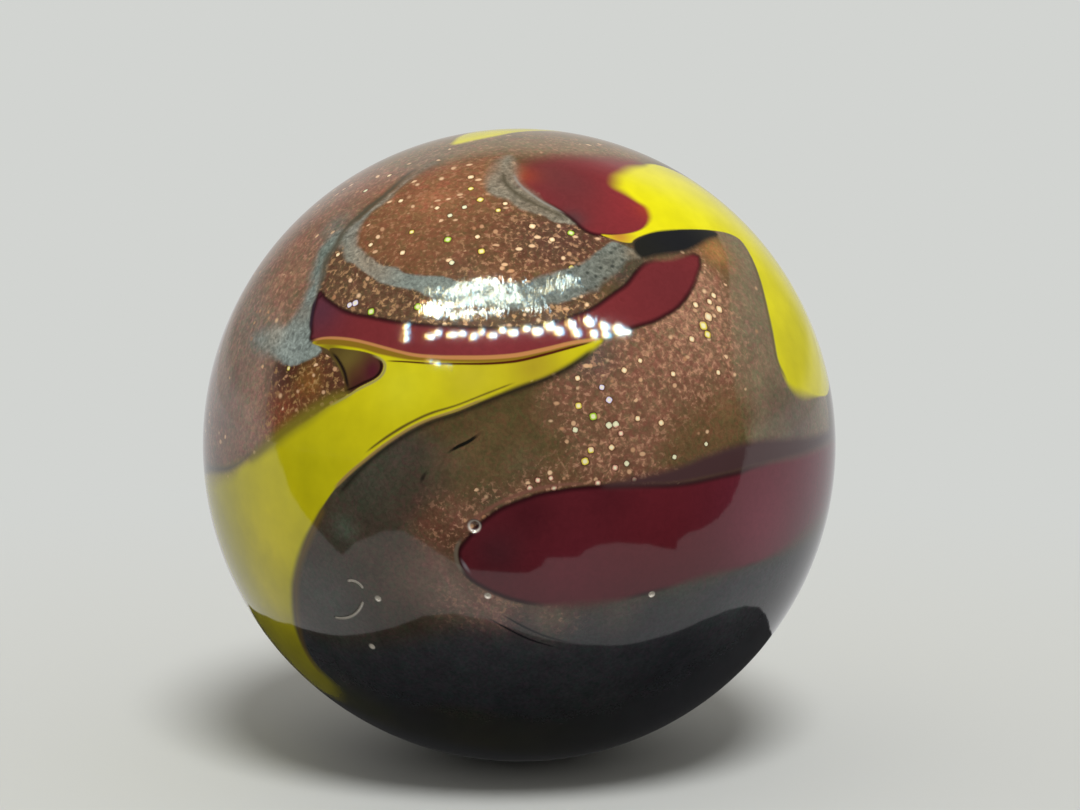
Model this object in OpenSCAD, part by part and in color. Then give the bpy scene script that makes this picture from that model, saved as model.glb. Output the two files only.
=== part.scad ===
// Swirl marble: one ball of opaque glass, with coloured glasses folded into it.
//
// The ball's middle is the origin, +Z is up and the showing side faces -Y.
// A place on the ball is [longitude, latitude] in degrees. Longitude 0 faces -Y and
// grows towards +X, and latitude grows towards +Z. Each glass is a field that runs from
// its outline on the ball in to the middle, so the fields fill the ball between them.

/* [Ball] */
// Diameter of the marble
marble_d = 17; // [13:0.5:25]

/* [Open bubble] */
// Width of the mouth of the bubble that broke open at the surface
bubble_w = 0.36; // [0.2:0.02:0.6]
// Depth of that bubble
bubble_depth = 0.1; // [0.04:0.01:0.14]

/* [Pinholes] */
// Width of the mouth of a pinhole
pinhole_w = 0.16; // [0.1:0.02:0.3]
// Depth of a pinhole
pinhole_depth = 0.05; // [0.02:0.01:0.08]

/* [Crescent bruises] */
// Width of the groove of a crescent bruise
bruise_w = 0.08; // [0.04:0.01:0.16]
// Depth of that groove
bruise_depth = 0.03; // [0.01:0.005:0.05]

/* [Hidden] */

ball_fn = 144;
mark_fn = 32;
spline_steps = 2; // stretches of the curve between two points of an outline

// Colours of the glasses
LEMON = "#d3cc1f";
OXBLOOD = "#7c2029";
COAL = "#1d1e22";
GREY_STONE = "#899087";
GOLDSTONE = "#8d5b3b";
OLIVE = "#5d4d33";
UMBER = "#6f5a50";
EBONY = "#26231f";

// Outlines of the fields. FIELDS below gives each one its glass and the laying order: a
// later field lies over an earlier one.
belly = [
    [-60, -33], [-35, -18], [-9, -18], [10, -20], [35, -17], [65, -13.5], [95, -15],
    [122, -25], [138, -32], [153, -37], [168, -41], [-175, -43], [-158, -43],
    [-140, -42], [-122, -40], [-102, -39], [-80, -38],
];
left_flank = [
    [-22, 7.5], [-14, 8.8], [-9.5, 5], [-10, 0], [-14, -4], [-14, -9], [-11, -14],
    [-7, -20], [-20, -27], [-45, -29], [-48, -20], [-40, -10], [-31, 1],
];
left_shoulder = [
    [-49, 5], [-49.5, 18], [-46, 24], [-45.5, 34], [-46.5, 42], [-46, 50], [-43.5, 58],
    [-41, 64], [-58, 64], [-75, 63], [-95, 62], [-115, 58], [-118, 30], [-106, 6], [-92, -3],
    [-70, -6], [-56, -2],
];
crown = [
    [-36, 64], [-20, 66], [0, 67], [30, 67], [60, 64], [80, 66], [120, 74], [-160, 76],
    [-100, 66], [-60, 62],
];
lens = [
    [-43, 46], [-39, 54], [-35, 62], [-18, 67], [-2, 66], [3, 54], [16, 47], [24, 44],
    [18, 38], [6, 34], [-10, 32], [-28, 36], [-39, 40],
];
under_lens = [
    [-46.3, 40], [-45.5, 36], [-44, 31], [-36, 28], [-20, 26], [0, 26], [12, 29], [16, 34],
    [0, 33], [-20, 36], [-38, 41], [-43, 43.5],
];
wide_field = [
    [44, 41], [46, 36], [45, 28], [43.5, 20], [41, 14], [34, 11.5], [27, 8.5], [24, 5],
    [27, 1], [12, 0], [0, -3], [-8, -9], [-13, -8.5], [-16, -6.5], [-11, -3], [-3, 0],
    [3, 2.5], [8, 5], [8, 9], [5, 13], [5, 17], [10, 21.5], [18, 25], [30, 30], [38, 36],
];
left_window = [
    [-48, 19.5], [-41, 19.5], [-37.5, 21.5], [-34, 20], [-30, 14.5], [-38, 9.5], [-45, 6],
    [-48.8, 5.5], [-49.3, 12],
];
grey_crescent = [
    [-36.5, 65], [-38.6, 63], [-40.2, 60], [-41.2, 55], [-43.3, 51], [-44.8, 47.8],
    [-46.2, 45], [-45.4, 42.6], [-42.6, 40.4], [-37.1, 38], [-32.8, 36.3], [-29.4, 34.9],
    [-25.8, 33.8], [-22.2, 33.1], [-18, 32.4], [-10, 31.2], [-4, 30.7], [2, 30.5], [9.5, 31.9],
    [15.4, 33.7], [18.6, 35.9], [21.5, 37.6], [24, 39], [27.6, 39.7], [26.8, 41.2],
    [24.5, 42.6], [22, 43.4], [19.5, 42.2], [17, 40.7], [13.8, 39.3], [10.7, 38], [5, 36.2],
    [-2, 35], [-10, 35.2], [-15.3, 35.9], [-21.1, 36.5], [-27.4, 37.7], [-31.2, 38.5],
    [-34.8, 39.6], [-38.1, 41.5], [-40.4, 43.4], [-41.8, 45.2], [-42.2, 47.4], [-41.4, 50],
    [-40, 52.6], [-38.9, 55.5], [-38, 59], [-36.8, 62], [-35, 64.4],
];
grey_wedge = [
    [-8, 66], [-9.8, 60], [-8.5, 55.5], [-3, 53], [2, 50.9], [6, 49.3], [10, 47.8], [15, 47.2],
    [13.2, 49.6], [11.4, 51.2], [8.8, 52.5], [5.9, 54.6], [2.2, 57.4], [0.6, 59.6], [-0.4, 62],
    [-1.5, 66], [-4, 68],
];
grey_patch = [
    [-47.2, 45.5], [-46.4, 43.5], [-46.2, 39.8], [-46, 37.9], [-44.9, 35.5], [-44, 33.4],
    [-43.7, 31], [-43.1, 29], [-42, 26.3], [-40.4, 24.2], [-38.6, 23], [-37.6, 22],
    [-39.5, 20.5], [-42, 19.6], [-45, 19.2], [-48.5, 19.8], [-52, 20.4], [-57, 21.5],
    [-59.5, 22.8], [-55, 24.3], [-50.6, 25.4], [-48, 27], [-47, 30], [-47.4, 33.5],
    [-48.6, 36], [-50, 38], [-51, 40.5], [-50.6, 43], [-49.4, 45],
];
upper_oxblood = [
    [3.5, 64.7], [1, 61], [1, 58], [4, 55.6], [7, 53.3], [10.2, 51.2], [12.2, 49.8],
    [14, 48.2], [15.6, 46.4], [17.4, 45.2], [20.5, 44.6], [28, 44.4], [37, 46], [41, 52],
    [46, 60], [58, 64.2], [48, 66], [36, 67], [24, 67.4], [12, 66.8],
];
middle_oxblood = [
    [-43.2, 32.4], [-40.8, 31.2], [-37.1, 29.9], [-34, 29], [-30, 28.5], [-20.4, 27.5],
    [-8, 27], [0, 27.1], [6, 27.8], [11, 29.2], [14.5, 30.4], [19, 32.9], [22.3, 34.6],
    [25, 36.7], [27.4, 38.2], [30, 38.9], [36, 39.2], [43.2, 40], [42.6, 37.7], [40.5, 35.9],
    [38.1, 33.8], [35.1, 31.6], [31.9, 29.7], [28.8, 28.5], [25.8, 27.5], [21.5, 26.6],
    [17, 25.4], [10, 22.5], [-5, 20.5], [-22, 21], [-32, 23], [-38, 23.3], [-41, 23.7],
    [-41.4, 25], [-42.5, 27.3], [-43.1, 30.4],
];
lower_oxblood = [
    [-9.6, -10], [-8.2, -7.8], [-5.7, -4.9], [-4, -3.6], [-1.7, -2.2], [2.8, -0.5],
    [5.6, 0.1], [10.5, 0.7], [18, 0.8], [25, 0.4], [30, 0.5], [35, 1], [40, 1.4],
    [45, 2.2], [60, 2.8], [80, 2.4], [95, 0.5], [99, -4], [95, -9], [80, -9.8],
    [66, -11.2], [55, -13.8], [45, -15.3], [35, -16], [25, -17.8], [15, -19.4],
    [6.5, -19.6], [0, -18.6], [-4.2, -17], [-7.8, -14.8], [-9.2, -12.8],
];
black_wedge = [
    [26.9, 42], [27.6, 43.2], [30, 44.2], [34.9, 45.6], [41.3, 46], [48.2, 45.8],
    [53.6, 45], [55.8, 43.6], [50.2, 42.6], [45.6, 41.5], [40.2, 40.5], [35.9, 40.1],
    [32, 39.9], [28.3, 39.6], [27, 40.6],
];
right_ribbon = [
    [33.9, 58.2], [32, 56.6], [33.5, 54.8], [35.3, 52.6], [37, 51.1], [36.7, 49.6],
    [35.7, 48.1], [33, 46.4], [30, 45.4], [26.7, 44.9], [22.7, 44.7], [20, 44.8],
    [23.9, 43.3], [26.6, 42.9], [27.8, 43.5], [30.2, 44.3], [35.3, 45.2], [41.8, 45.4],
    [48.5, 45.2], [55.7, 44.6], [61.6, 43.6], [64.8, 42.2], [64.8, 40.3], [63.3, 37.3],
    [61, 33.8], [58.9, 30.5], [57.2, 27.3], [55.2, 21.8], [54.6, 19], [55, 16.4],
    [56.4, 14.3], [58.9, 13], [63.4, 12], [69, 11.3], [76, 11], [83, 13], [88, 18],
    [91, 26], [96, 34], [98, 42], [94, 50], [86, 57], [75, 62], [65, 63.5], [57.5, 63],
    [48, 62.5], [41, 61.2], [36, 59.8],
];
main_ribbon = [
    [15.5, 24.7], [10.2, 21.2], [5.2, 18.8], [0, 17.1], [-5, 15.1], [-10, 13],
    [-14.3, 11.6], [-17.3, 10.2], [-19.6, 8.8], [-22.5, 6.8], [-25.3, 4.6], [-28.6, 2],
    [-31.2, -0.4], [-34.6, -4.4], [-36.5, -6.9], [-38.4, -9.3], [-40.3, -12],
    [-43.6, -17.2], [-45.2, -20], [-47.3, -24.3], [-49, -28], [-50.2, -33], [-50, -38],
    [-48, -43], [-54, -47], [-68, -46], [-82, -40], [-92, -28], [-96, -14], [-89, -4],
    [-76, -3.4], [-66.9, -2.4], [-59.8, -1], [-55.6, 0.9], [-50, 3.2], [-46.5, 5.5],
    [-43.6, 7.6], [-39.6, 9.5], [-36.3, 11.3], [-33, 13.3], [-30.2, 15], [-31, 17.4],
    [-32.6, 19.3], [-35.6, 22], [-40.3, 23.1], [-38, 23.9], [-35, 24.2], [-31.5, 24.2],
    [-28.5, 23.9], [-25, 23.3], [-21.3, 22.6], [-17.8, 22.15], [-14, 22], [-10, 22],
    [-5, 22.1], [0, 22.5], [5, 23.4], [10, 24.4],
];
small_lens = [
    [-35.9, 22.3], [-31.6, 22.5], [-27.8, 22.2], [-25.2, 21.5], [-23.9, 20.4], [-24, 18.9],
    [-25.2, 17.7], [-27.9, 16.3], [-30.2, 15], [-31.4, 17.4], [-32.8, 19.3],
];
top_ribbon = [
    [-43, 72.8], [-37.5, 73.8], [-34.8, 74.9], [-29.9, 76.3], [-24.5, 77.8], [-18.3, 79.4],
    [-10.4, 81.4], [2, 83], [30, 84], [70, 83], [100, 80], [118, 76.5], [130, 71], [140, 64],
    [152, 58], [163, 54], [166, 60], [162, 68], [164, 75], [178, 81], [-145, 85], [-95, 83],
    [-66, 79], [-50, 75.2],
];

// Outlines on the far side and underneath
heel_ribbon = [
    [-56, -38], [-58, -46], [-46, -52], [-31, -56], [-14, -60], [8, -64], [40, -67], [80, -66],
    [112, -59], [132, -50], [118, -52], [84, -57], [46, -56], [20, -51], [4, -47], [-8, -44],
    [-18, -43.3], [-28, -44.3], [-36, -45.3], [-44, -45.3], [-50, -42.5],
];
far_shoulder = [
    [-88, -2], [-84, 25], [-84, 55], [-105, 64], [-128, 62], [-142, 50], [-138, 32],
    [-128, 14], [-116, -2], [-102, -8],
];
far_field = [
    [150, 28], [164, 40], [-178, 46], [-162, 43], [-150, 30], [-142, 12], [-136, -6],
    [-146, -17], [-163, -22], [-178, -16], [168, 0], [154, 13],
];
far_oxblood = [
    [92, 1], [108, -2], [124, -7], [138, -14], [152, -22], [164, -30], [174, -38],
    [-176, -45], [170, -43], [154, -37], [138, -29], [122, -20], [108, -13], [94, -9],
];
far_lens = [
    [116, 46], [128, 54], [146, 60], [168, 62], [-172, 60], [-158, 55], [-152, 48],
    [-164, 51], [-180, 51], [164, 48.5], [146, 46], [130, 44],
];
far_crescent = [
    [108, 38], [122, 37], [140, 39], [158, 42.5], [176, 45.5], [-168, 46], [-156, 43],
    [-149, 36], [-150, 42], [-157, 47.5], [-168, 50.5], [176, 50], [158, 47], [140, 44.5],
    [122, 43.5],
];
far_ribbon = [
    [80, 58], [92, 56], [104, 49], [116, 39], [128, 27], [140, 15], [153, 3], [166, -9],
    [-180, -19], [-168, -27], [-174, -29], [173, -25], [159, -18], [145, -9], [131, 0],
    [118, 10], [107, 19], [97, 29], [86, 36], [78, 48],
];
far_main_ribbon = [
    [-84, -4], [-97, -8], [-109, -5], [-120, 5], [-130, 19], [-140, 33], [-150, 45],
    [-163, 54], [-180, 59], [166, 61], [178, 56], [-168, 49], [-158, 39], [-149, 25],
    [-140, 9], [-131, -7], [-121, -22], [-109, -35], [-95, -44], [-78, -47], [-66, -44],
    [-72, -24],
];

FIELDS = [
    [EBONY, belly],
    [EBONY, left_flank],
    [OLIVE, heel_ribbon],
    [UMBER, left_shoulder],
    [UMBER, far_shoulder],
    [UMBER, crown],
    [GOLDSTONE, lens],
    [GOLDSTONE, under_lens],
    [GOLDSTONE, wide_field],
    [GOLDSTONE, left_window],
    [GOLDSTONE, far_field],
    [GREY_STONE, grey_crescent],
    [GREY_STONE, grey_wedge],
    [GREY_STONE, grey_patch],
    [GREY_STONE, far_crescent],
    [OXBLOOD, upper_oxblood],
    [OXBLOOD, middle_oxblood],
    [OXBLOOD, lower_oxblood],
    [OXBLOOD, far_oxblood],
    [OXBLOOD, far_lens],
    [COAL, black_wedge],
    [LEMON, main_ribbon],
    [LEMON, right_ribbon],
    [LEMON, top_ribbon],
    [LEMON, far_ribbon],
    [LEMON, far_main_ribbon],
    [OXBLOOD, small_lens],
];

// Marks on the surface
bubble_at = [-6.9, -5.6];
pinholes_at = [[-25.1, -19.3], [-29.2, -29.4], [24, -18.4], [-5, -17.7]];
// A bruise: the middle of its circle, the circle's radius in mm, and the angles at which
// it starts and ends, counted from east towards north
bruises = [
    [[-29.8, -18.4], 0.3, 28, 110],
    [[-35.3, -16.9], 1.08, 268, 330],
];

marble_r = marble_d / 2;
field_reach = 1.2 * marble_r; // past the surface of the ball

// Direction of a place on the ball
function towards(place) = [
    cos(place[1]) * sin(place[0]),
    -cos(place[1]) * cos(place[0]),
    sin(place[1]),
];
function unit(v) = v / norm(v);
function total(list, i = 0) = i == len(list) - 1 ? list[i] : list[i] + total(list, i + 1);

// A smooth closed curve through the points, with spline_steps points to each stretch
function between(a, b, c, d, t) =
    unit(b + (c - a) * t / 2 + (2 * a - 5 * b + 4 * c - d) * t * t / 2
        + (3 * b - a - 3 * c + d) * t * t * t / 2);
function smooth_loop(points) = let (n = len(points)) [
    for (i = [0:n - 1], k = [0:spline_steps - 1])
        between(points[(i + n - 1) % n], points[i], points[(i + 1) % n],
            points[(i + 2) % n], k / spline_steps)
];

// Stands its children on the ball's middle, with their Z through a direction
module face_out(axis) {
    east = unit(cross([0, 0, 1], axis));
    north = cross(axis, east);
    multmatrix([for (i = [0:2]) [east[i], north[i], axis[i], 0]])
        children();
}

// The space that an outline on the ball encloses, from the middle out past the surface
module field(outline) {
    rim = smooth_loop([for (place = outline) towards(place)]);
    axis = unit(total(rim));
    east = unit(cross([0, 0, 1], axis));
    north = cross(axis, east);
    face_out(axis)
        translate([0, 0, field_reach])
            mirror([0, 0, 1])
                linear_extrude(height = field_reach, scale = 0)
                    polygon([for (v = rim) [v * east, v * north] * field_reach / (v * axis)]);
}

// A dish with a round mouth, cut into the surface
module dish(place, mouth_w, depth) {
    r = (mouth_w * mouth_w / 4 + depth * depth) / (2 * depth);
    face_out(towards(place))
        translate([0, 0, marble_r - depth + r])
            sphere(r = r, $fn = mark_fn);
}

// A groove that runs along part of a circle
module bruise(place, circle_r, from_angle, to_angle) {
    r = (bruise_w * bruise_w / 4 + bruise_depth * bruise_depth) / (2 * bruise_depth);
    surface_z = sqrt(marble_r * marble_r - circle_r * circle_r); // where the circle lies
    face_out(towards(place))
        translate([0, 0, surface_z - bruise_depth + r])
            rotate([0, 0, from_angle])
                rotate_extrude(angle = to_angle - from_angle, $fn = 2 * mark_fn)
                    translate([circle_r, 0])
                        circle(r = r, $fn = mark_fn);
}

module surface_marks() {
    dish(bubble_at, bubble_w, bubble_depth);
    for (place = pinholes_at)
        dish(place, pinhole_w, pinhole_depth);
    for (b = bruises)
        bruise(b[0], b[1], b[2], b[3]);
}

module ball() {
    sphere(d = marble_d, $fn = ball_fn);
}

// The ball with the first count fields laid, each one in the place of what was there
module laid(count) {
    if (count == 0)
        color(OLIVE)
            ball();
    else {
        glass = FIELDS[count - 1][0];
        outline = FIELDS[count - 1][1];
        difference() {
            laid(count - 1);
            field(outline);
        }
        color(glass)
            intersection() {
                ball();
                field(outline);
            }
    }
}

module marble() {
    difference() {
        laid(len(FIELDS));
        surface_marks();
    }
}

marble();
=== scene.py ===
"""A swirl marble of opaque glass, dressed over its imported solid.

The ball's middle is the origin, +Z is up and the showing side faces -Y. A place on the ball
is (longitude, latitude) in degrees: longitude 0 faces -Y and grows towards +X, and latitude
grows towards +Z. Lengths on the ball are in millimetres until they are put into the mesh.
"""
import math

import bpy
import numpy as np
from mathutils import Matrix, Vector


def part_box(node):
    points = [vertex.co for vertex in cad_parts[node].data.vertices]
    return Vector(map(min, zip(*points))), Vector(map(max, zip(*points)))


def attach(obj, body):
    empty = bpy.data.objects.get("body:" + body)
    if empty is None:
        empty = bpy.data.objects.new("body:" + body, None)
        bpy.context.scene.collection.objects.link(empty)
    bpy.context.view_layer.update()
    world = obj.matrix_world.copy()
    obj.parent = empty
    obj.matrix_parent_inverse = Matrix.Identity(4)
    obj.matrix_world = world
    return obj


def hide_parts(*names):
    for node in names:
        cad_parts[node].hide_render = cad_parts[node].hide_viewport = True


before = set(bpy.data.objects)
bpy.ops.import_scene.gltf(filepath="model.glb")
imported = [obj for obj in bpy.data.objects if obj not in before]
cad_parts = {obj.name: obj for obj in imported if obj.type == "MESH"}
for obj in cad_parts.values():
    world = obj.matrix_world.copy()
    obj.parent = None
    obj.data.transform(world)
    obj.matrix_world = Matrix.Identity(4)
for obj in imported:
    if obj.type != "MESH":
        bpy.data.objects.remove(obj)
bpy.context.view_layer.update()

MM = 0.001
low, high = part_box("marble")
BALL_R = (high.x - low.x) / 2 / MM  # radius of the ball in mm

# ---------------------------------------------------------------- the folded glasses
# Outlines of the fields of glass, the same as in the part's source
OUTLINES = {
    "belly": [
        (-60, -33), (-35, -18), (-9, -18), (10, -20), (35, -17), (65, -13.5), (95, -15),
        (122, -25), (138, -32), (153, -37), (168, -41), (-175, -43), (-158, -43),
        (-140, -42), (-122, -40), (-102, -39), (-80, -38),
    ],
    "left_flank": [
        (-22, 7.5), (-14, 8.8), (-9.5, 5), (-10, 0), (-14, -4), (-14, -9), (-11, -14),
        (-7, -20), (-20, -27), (-45, -29), (-48, -20), (-40, -10), (-31, 1),
    ],
    "left_shoulder": [
        (-49, 5), (-49.5, 18), (-46, 24), (-45.5, 34), (-46.5, 42), (-46, 50), (-43.5, 58),
        (-41, 64), (-58, 64), (-75, 63), (-95, 62), (-115, 58), (-118, 30), (-106, 6), (-92, -3),
        (-70, -6), (-56, -2),
    ],
    "crown": [
        (-36, 64), (-20, 66), (0, 67), (30, 67), (60, 64), (80, 66), (120, 74), (-160, 76),
        (-100, 66), (-60, 62),
    ],
    "lens": [
        (-43, 46), (-39, 54), (-35, 62), (-18, 67), (-2, 66), (3, 54), (16, 47), (24, 44),
        (18, 38), (6, 34), (-10, 32), (-28, 36), (-39, 40),
    ],
    "under_lens": [
        (-46.3, 40), (-45.5, 36), (-44, 31), (-36, 28), (-20, 26), (0, 26), (12, 29), (16, 34),
        (0, 33), (-20, 36), (-38, 41), (-43, 43.5),
    ],
    "wide_field": [
        (44, 41), (46, 36), (45, 28), (43.5, 20), (41, 14), (34, 11.5), (27, 8.5), (24, 5),
        (27, 1), (12, 0), (0, -3), (-8, -9), (-13, -8.5), (-16, -6.5), (-11, -3), (-3, 0),
        (3, 2.5), (8, 5), (8, 9), (5, 13), (5, 17), (10, 21.5), (18, 25), (30, 30), (38, 36),
    ],
    "left_window": [
        (-48, 19.5), (-41, 19.5), (-37.5, 21.5), (-34, 20), (-30, 14.5), (-38, 9.5), (-45, 6),
        (-48.8, 5.5), (-49.3, 12),
    ],
    "grey_crescent": [
        (-36.5, 65), (-38.6, 63), (-40.2, 60), (-41.2, 55), (-43.3, 51), (-44.8, 47.8),
        (-46.2, 45), (-45.4, 42.6), (-42.6, 40.4), (-37.1, 38), (-32.8, 36.3), (-29.4, 34.9),
        (-25.8, 33.8), (-22.2, 33.1), (-18, 32.4), (-10, 31.2), (-4, 30.7), (2, 30.5), (9.5, 31.9),
        (15.4, 33.7), (18.6, 35.9), (21.5, 37.6), (24, 39), (27.6, 39.7), (26.8, 41.2),
        (24.5, 42.6), (22, 43.4), (19.5, 42.2), (17, 40.7), (13.8, 39.3), (10.7, 38), (5, 36.2),
        (-2, 35), (-10, 35.2), (-15.3, 35.9), (-21.1, 36.5), (-27.4, 37.7), (-31.2, 38.5),
        (-34.8, 39.6), (-38.1, 41.5), (-40.4, 43.4), (-41.8, 45.2), (-42.2, 47.4), (-41.4, 50),
        (-40, 52.6), (-38.9, 55.5), (-38, 59), (-36.8, 62), (-35, 64.4),
    ],
    "grey_wedge": [
        (-8, 66), (-9.8, 60), (-8.5, 55.5), (-3, 53), (2, 50.9), (6, 49.3), (10, 47.8), (15, 47.2),
        (13.2, 49.6), (11.4, 51.2), (8.8, 52.5), (5.9, 54.6), (2.2, 57.4), (0.6, 59.6), (-0.4, 62),
        (-1.5, 66), (-4, 68),
    ],
    "grey_patch": [
        (-47.2, 45.5), (-46.4, 43.5), (-46.2, 39.8), (-46, 37.9), (-44.9, 35.5), (-44, 33.4),
        (-43.7, 31), (-43.1, 29), (-42, 26.3), (-40.4, 24.2), (-38.6, 23), (-37.6, 22),
        (-39.5, 20.5), (-42, 19.6), (-45, 19.2), (-48.5, 19.8), (-52, 20.4), (-57, 21.5),
        (-59.5, 22.8), (-55, 24.3), (-50.6, 25.4), (-48, 27), (-47, 30), (-47.4, 33.5),
        (-48.6, 36), (-50, 38), (-51, 40.5), (-50.6, 43), (-49.4, 45),
    ],
    "upper_oxblood": [
        (3.5, 64.7), (1, 61), (1, 58), (4, 55.6), (7, 53.3), (10.2, 51.2), (12.2, 49.8),
        (14, 48.2), (15.6, 46.4), (17.4, 45.2), (20.5, 44.6), (28, 44.4), (37, 46), (41, 52),
        (46, 60), (58, 64.2), (48, 66), (36, 67), (24, 67.4), (12, 66.8),
    ],
    "middle_oxblood": [
        (-43.2, 32.4), (-40.8, 31.2), (-37.1, 29.9), (-34, 29), (-30, 28.5), (-20.4, 27.5),
        (-8, 27), (0, 27.1), (6, 27.8), (11, 29.2), (14.5, 30.4), (19, 32.9), (22.3, 34.6),
        (25, 36.7), (27.4, 38.2), (30, 38.9), (36, 39.2), (43.2, 40), (42.6, 37.7), (40.5, 35.9),
        (38.1, 33.8), (35.1, 31.6), (31.9, 29.7), (28.8, 28.5), (25.8, 27.5), (21.5, 26.6),
        (17, 25.4), (10, 22.5), (-5, 20.5), (-22, 21), (-32, 23), (-38, 23.3), (-41, 23.7),
        (-41.4, 25), (-42.5, 27.3), (-43.1, 30.4),
    ],
    "lower_oxblood": [
        (-9.6, -10), (-8.2, -7.8), (-5.7, -4.9), (-4, -3.6), (-1.7, -2.2), (2.8, -0.5),
        (5.6, 0.1), (10.5, 0.7), (18, 0.8), (25, 0.4), (30, 0.5), (35, 1), (40, 1.4),
        (45, 2.2), (60, 2.8), (80, 2.4), (95, 0.5), (99, -4), (95, -9), (80, -9.8),
        (66, -11.2), (55, -13.8), (45, -15.3), (35, -16), (25, -17.8), (15, -19.4),
        (6.5, -19.6), (0, -18.6), (-4.2, -17), (-7.8, -14.8), (-9.2, -12.8),
    ],
    "black_wedge": [
        (26.9, 42), (27.6, 43.2), (30, 44.2), (34.9, 45.6), (41.3, 46), (48.2, 45.8),
        (53.6, 45), (55.8, 43.6), (50.2, 42.6), (45.6, 41.5), (40.2, 40.5), (35.9, 40.1),
        (32, 39.9), (28.3, 39.6), (27, 40.6),
    ],
    "right_ribbon": [
        (33.9, 58.2), (32, 56.6), (33.5, 54.8), (35.3, 52.6), (37, 51.1), (36.7, 49.6),
        (35.7, 48.1), (33, 46.4), (30, 45.4), (26.7, 44.9), (22.7, 44.7), (20, 44.8),
        (23.9, 43.3), (26.6, 42.9), (27.8, 43.5), (30.2, 44.3), (35.3, 45.2), (41.8, 45.4),
        (48.5, 45.2), (55.7, 44.6), (61.6, 43.6), (64.8, 42.2), (64.8, 40.3), (63.3, 37.3),
        (61, 33.8), (58.9, 30.5), (57.2, 27.3), (55.2, 21.8), (54.6, 19), (55, 16.4),
        (56.4, 14.3), (58.9, 13), (63.4, 12), (69, 11.3), (76, 11), (83, 13), (88, 18),
        (91, 26), (96, 34), (98, 42), (94, 50), (86, 57), (75, 62), (65, 63.5), (57.5, 63),
        (48, 62.5), (41, 61.2), (36, 59.8),
    ],
    "main_ribbon": [
        (15.5, 24.7), (10.2, 21.2), (5.2, 18.8), (0, 17.1), (-5, 15.1), (-10, 13),
        (-14.3, 11.6), (-17.3, 10.2), (-19.6, 8.8), (-22.5, 6.8), (-25.3, 4.6), (-28.6, 2),
        (-31.2, -0.4), (-34.6, -4.4), (-36.5, -6.9), (-38.4, -9.3), (-40.3, -12),
        (-43.6, -17.2), (-45.2, -20), (-47.3, -24.3), (-49, -28), (-50.2, -33), (-50, -38),
        (-48, -43), (-54, -47), (-68, -46), (-82, -40), (-92, -28), (-96, -14), (-89, -4),
        (-76, -3.4), (-66.9, -2.4), (-59.8, -1), (-55.6, 0.9), (-50, 3.2), (-46.5, 5.5),
        (-43.6, 7.6), (-39.6, 9.5), (-36.3, 11.3), (-33, 13.3), (-30.2, 15), (-31, 17.4),
        (-32.6, 19.3), (-35.6, 22), (-40.3, 23.1), (-38, 23.9), (-35, 24.2), (-31.5, 24.2),
        (-28.5, 23.9), (-25, 23.3), (-21.3, 22.6), (-17.8, 22.15), (-14, 22), (-10, 22),
        (-5, 22.1), (0, 22.5), (5, 23.4), (10, 24.4),
    ],
    "small_lens": [
        (-35.9, 22.3), (-31.6, 22.5), (-27.8, 22.2), (-25.2, 21.5), (-23.9, 20.4), (-24, 18.9),
        (-25.2, 17.7), (-27.9, 16.3), (-30.2, 15), (-31.4, 17.4), (-32.8, 19.3),
    ],
    "top_ribbon": [
        (-43, 72.8), (-37.5, 73.8), (-34.8, 74.9), (-29.9, 76.3), (-24.5, 77.8), (-18.3, 79.4),
        (-10.4, 81.4), (2, 83), (30, 84), (70, 83), (100, 80), (118, 76.5), (130, 71), (140, 64),
        (152, 58), (163, 54), (166, 60), (162, 68), (164, 75), (178, 81), (-145, 85), (-95, 83),
        (-66, 79), (-50, 75.2),
    ],
    "heel_ribbon": [
        (-56, -38), (-58, -46), (-46, -52), (-31, -56), (-14, -60), (8, -64), (40, -67), (80, -66),
        (112, -59), (132, -50), (118, -52), (84, -57), (46, -56), (20, -51), (4, -47), (-8, -44),
        (-18, -43.3), (-28, -44.3), (-36, -45.3), (-44, -45.3), (-50, -42.5),
    ],
    "far_shoulder": [
        (-88, -2), (-84, 25), (-84, 55), (-105, 64), (-128, 62), (-142, 50), (-138, 32),
        (-128, 14), (-116, -2), (-102, -8),
    ],
    "far_field": [
        (150, 28), (164, 40), (-178, 46), (-162, 43), (-150, 30), (-142, 12), (-136, -6),
        (-146, -17), (-163, -22), (-178, -16), (168, 0), (154, 13),
    ],
    "far_oxblood": [
        (92, 1), (108, -2), (124, -7), (138, -14), (152, -22), (164, -30), (174, -38),
        (-176, -45), (170, -43), (154, -37), (138, -29), (122, -20), (108, -13), (94, -9),
    ],
    "far_lens": [
        (116, 46), (128, 54), (146, 60), (168, 62), (-172, 60), (-158, 55), (-152, 48),
        (-164, 51), (-180, 51), (164, 48.5), (146, 46), (130, 44),
    ],
    "far_crescent": [
        (108, 38), (122, 37), (140, 39), (158, 42.5), (176, 45.5), (-168, 46), (-156, 43),
        (-149, 36), (-150, 42), (-157, 47.5), (-168, 50.5), (176, 50), (158, 47), (140, 44.5),
        (122, 43.5),
    ],
    "far_ribbon": [
        (80, 58), (92, 56), (104, 49), (116, 39), (128, 27), (140, 15), (153, 3), (166, -9),
        (-180, -19), (-168, -27), (-174, -29), (173, -25), (159, -18), (145, -9), (131, 0),
        (118, 10), (107, 19), (97, 29), (86, 36), (78, 48),
    ],
    "far_main_ribbon": [
        (-84, -4), (-97, -8), (-109, -5), (-120, 5), (-130, 19), (-140, 33), (-150, 45),
        (-163, 54), (-180, 59), (166, 61), (178, 56), (-168, 49), (-158, 39), (-149, 25),
        (-140, 9), (-131, -7), (-121, -22), (-109, -35), (-95, -44), (-78, -47), (-66, -44),
        (-72, -24),
    ],
}

GREY_FIELDS = ["grey_crescent", "grey_wedge", "grey_patch", "far_crescent"]

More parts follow.
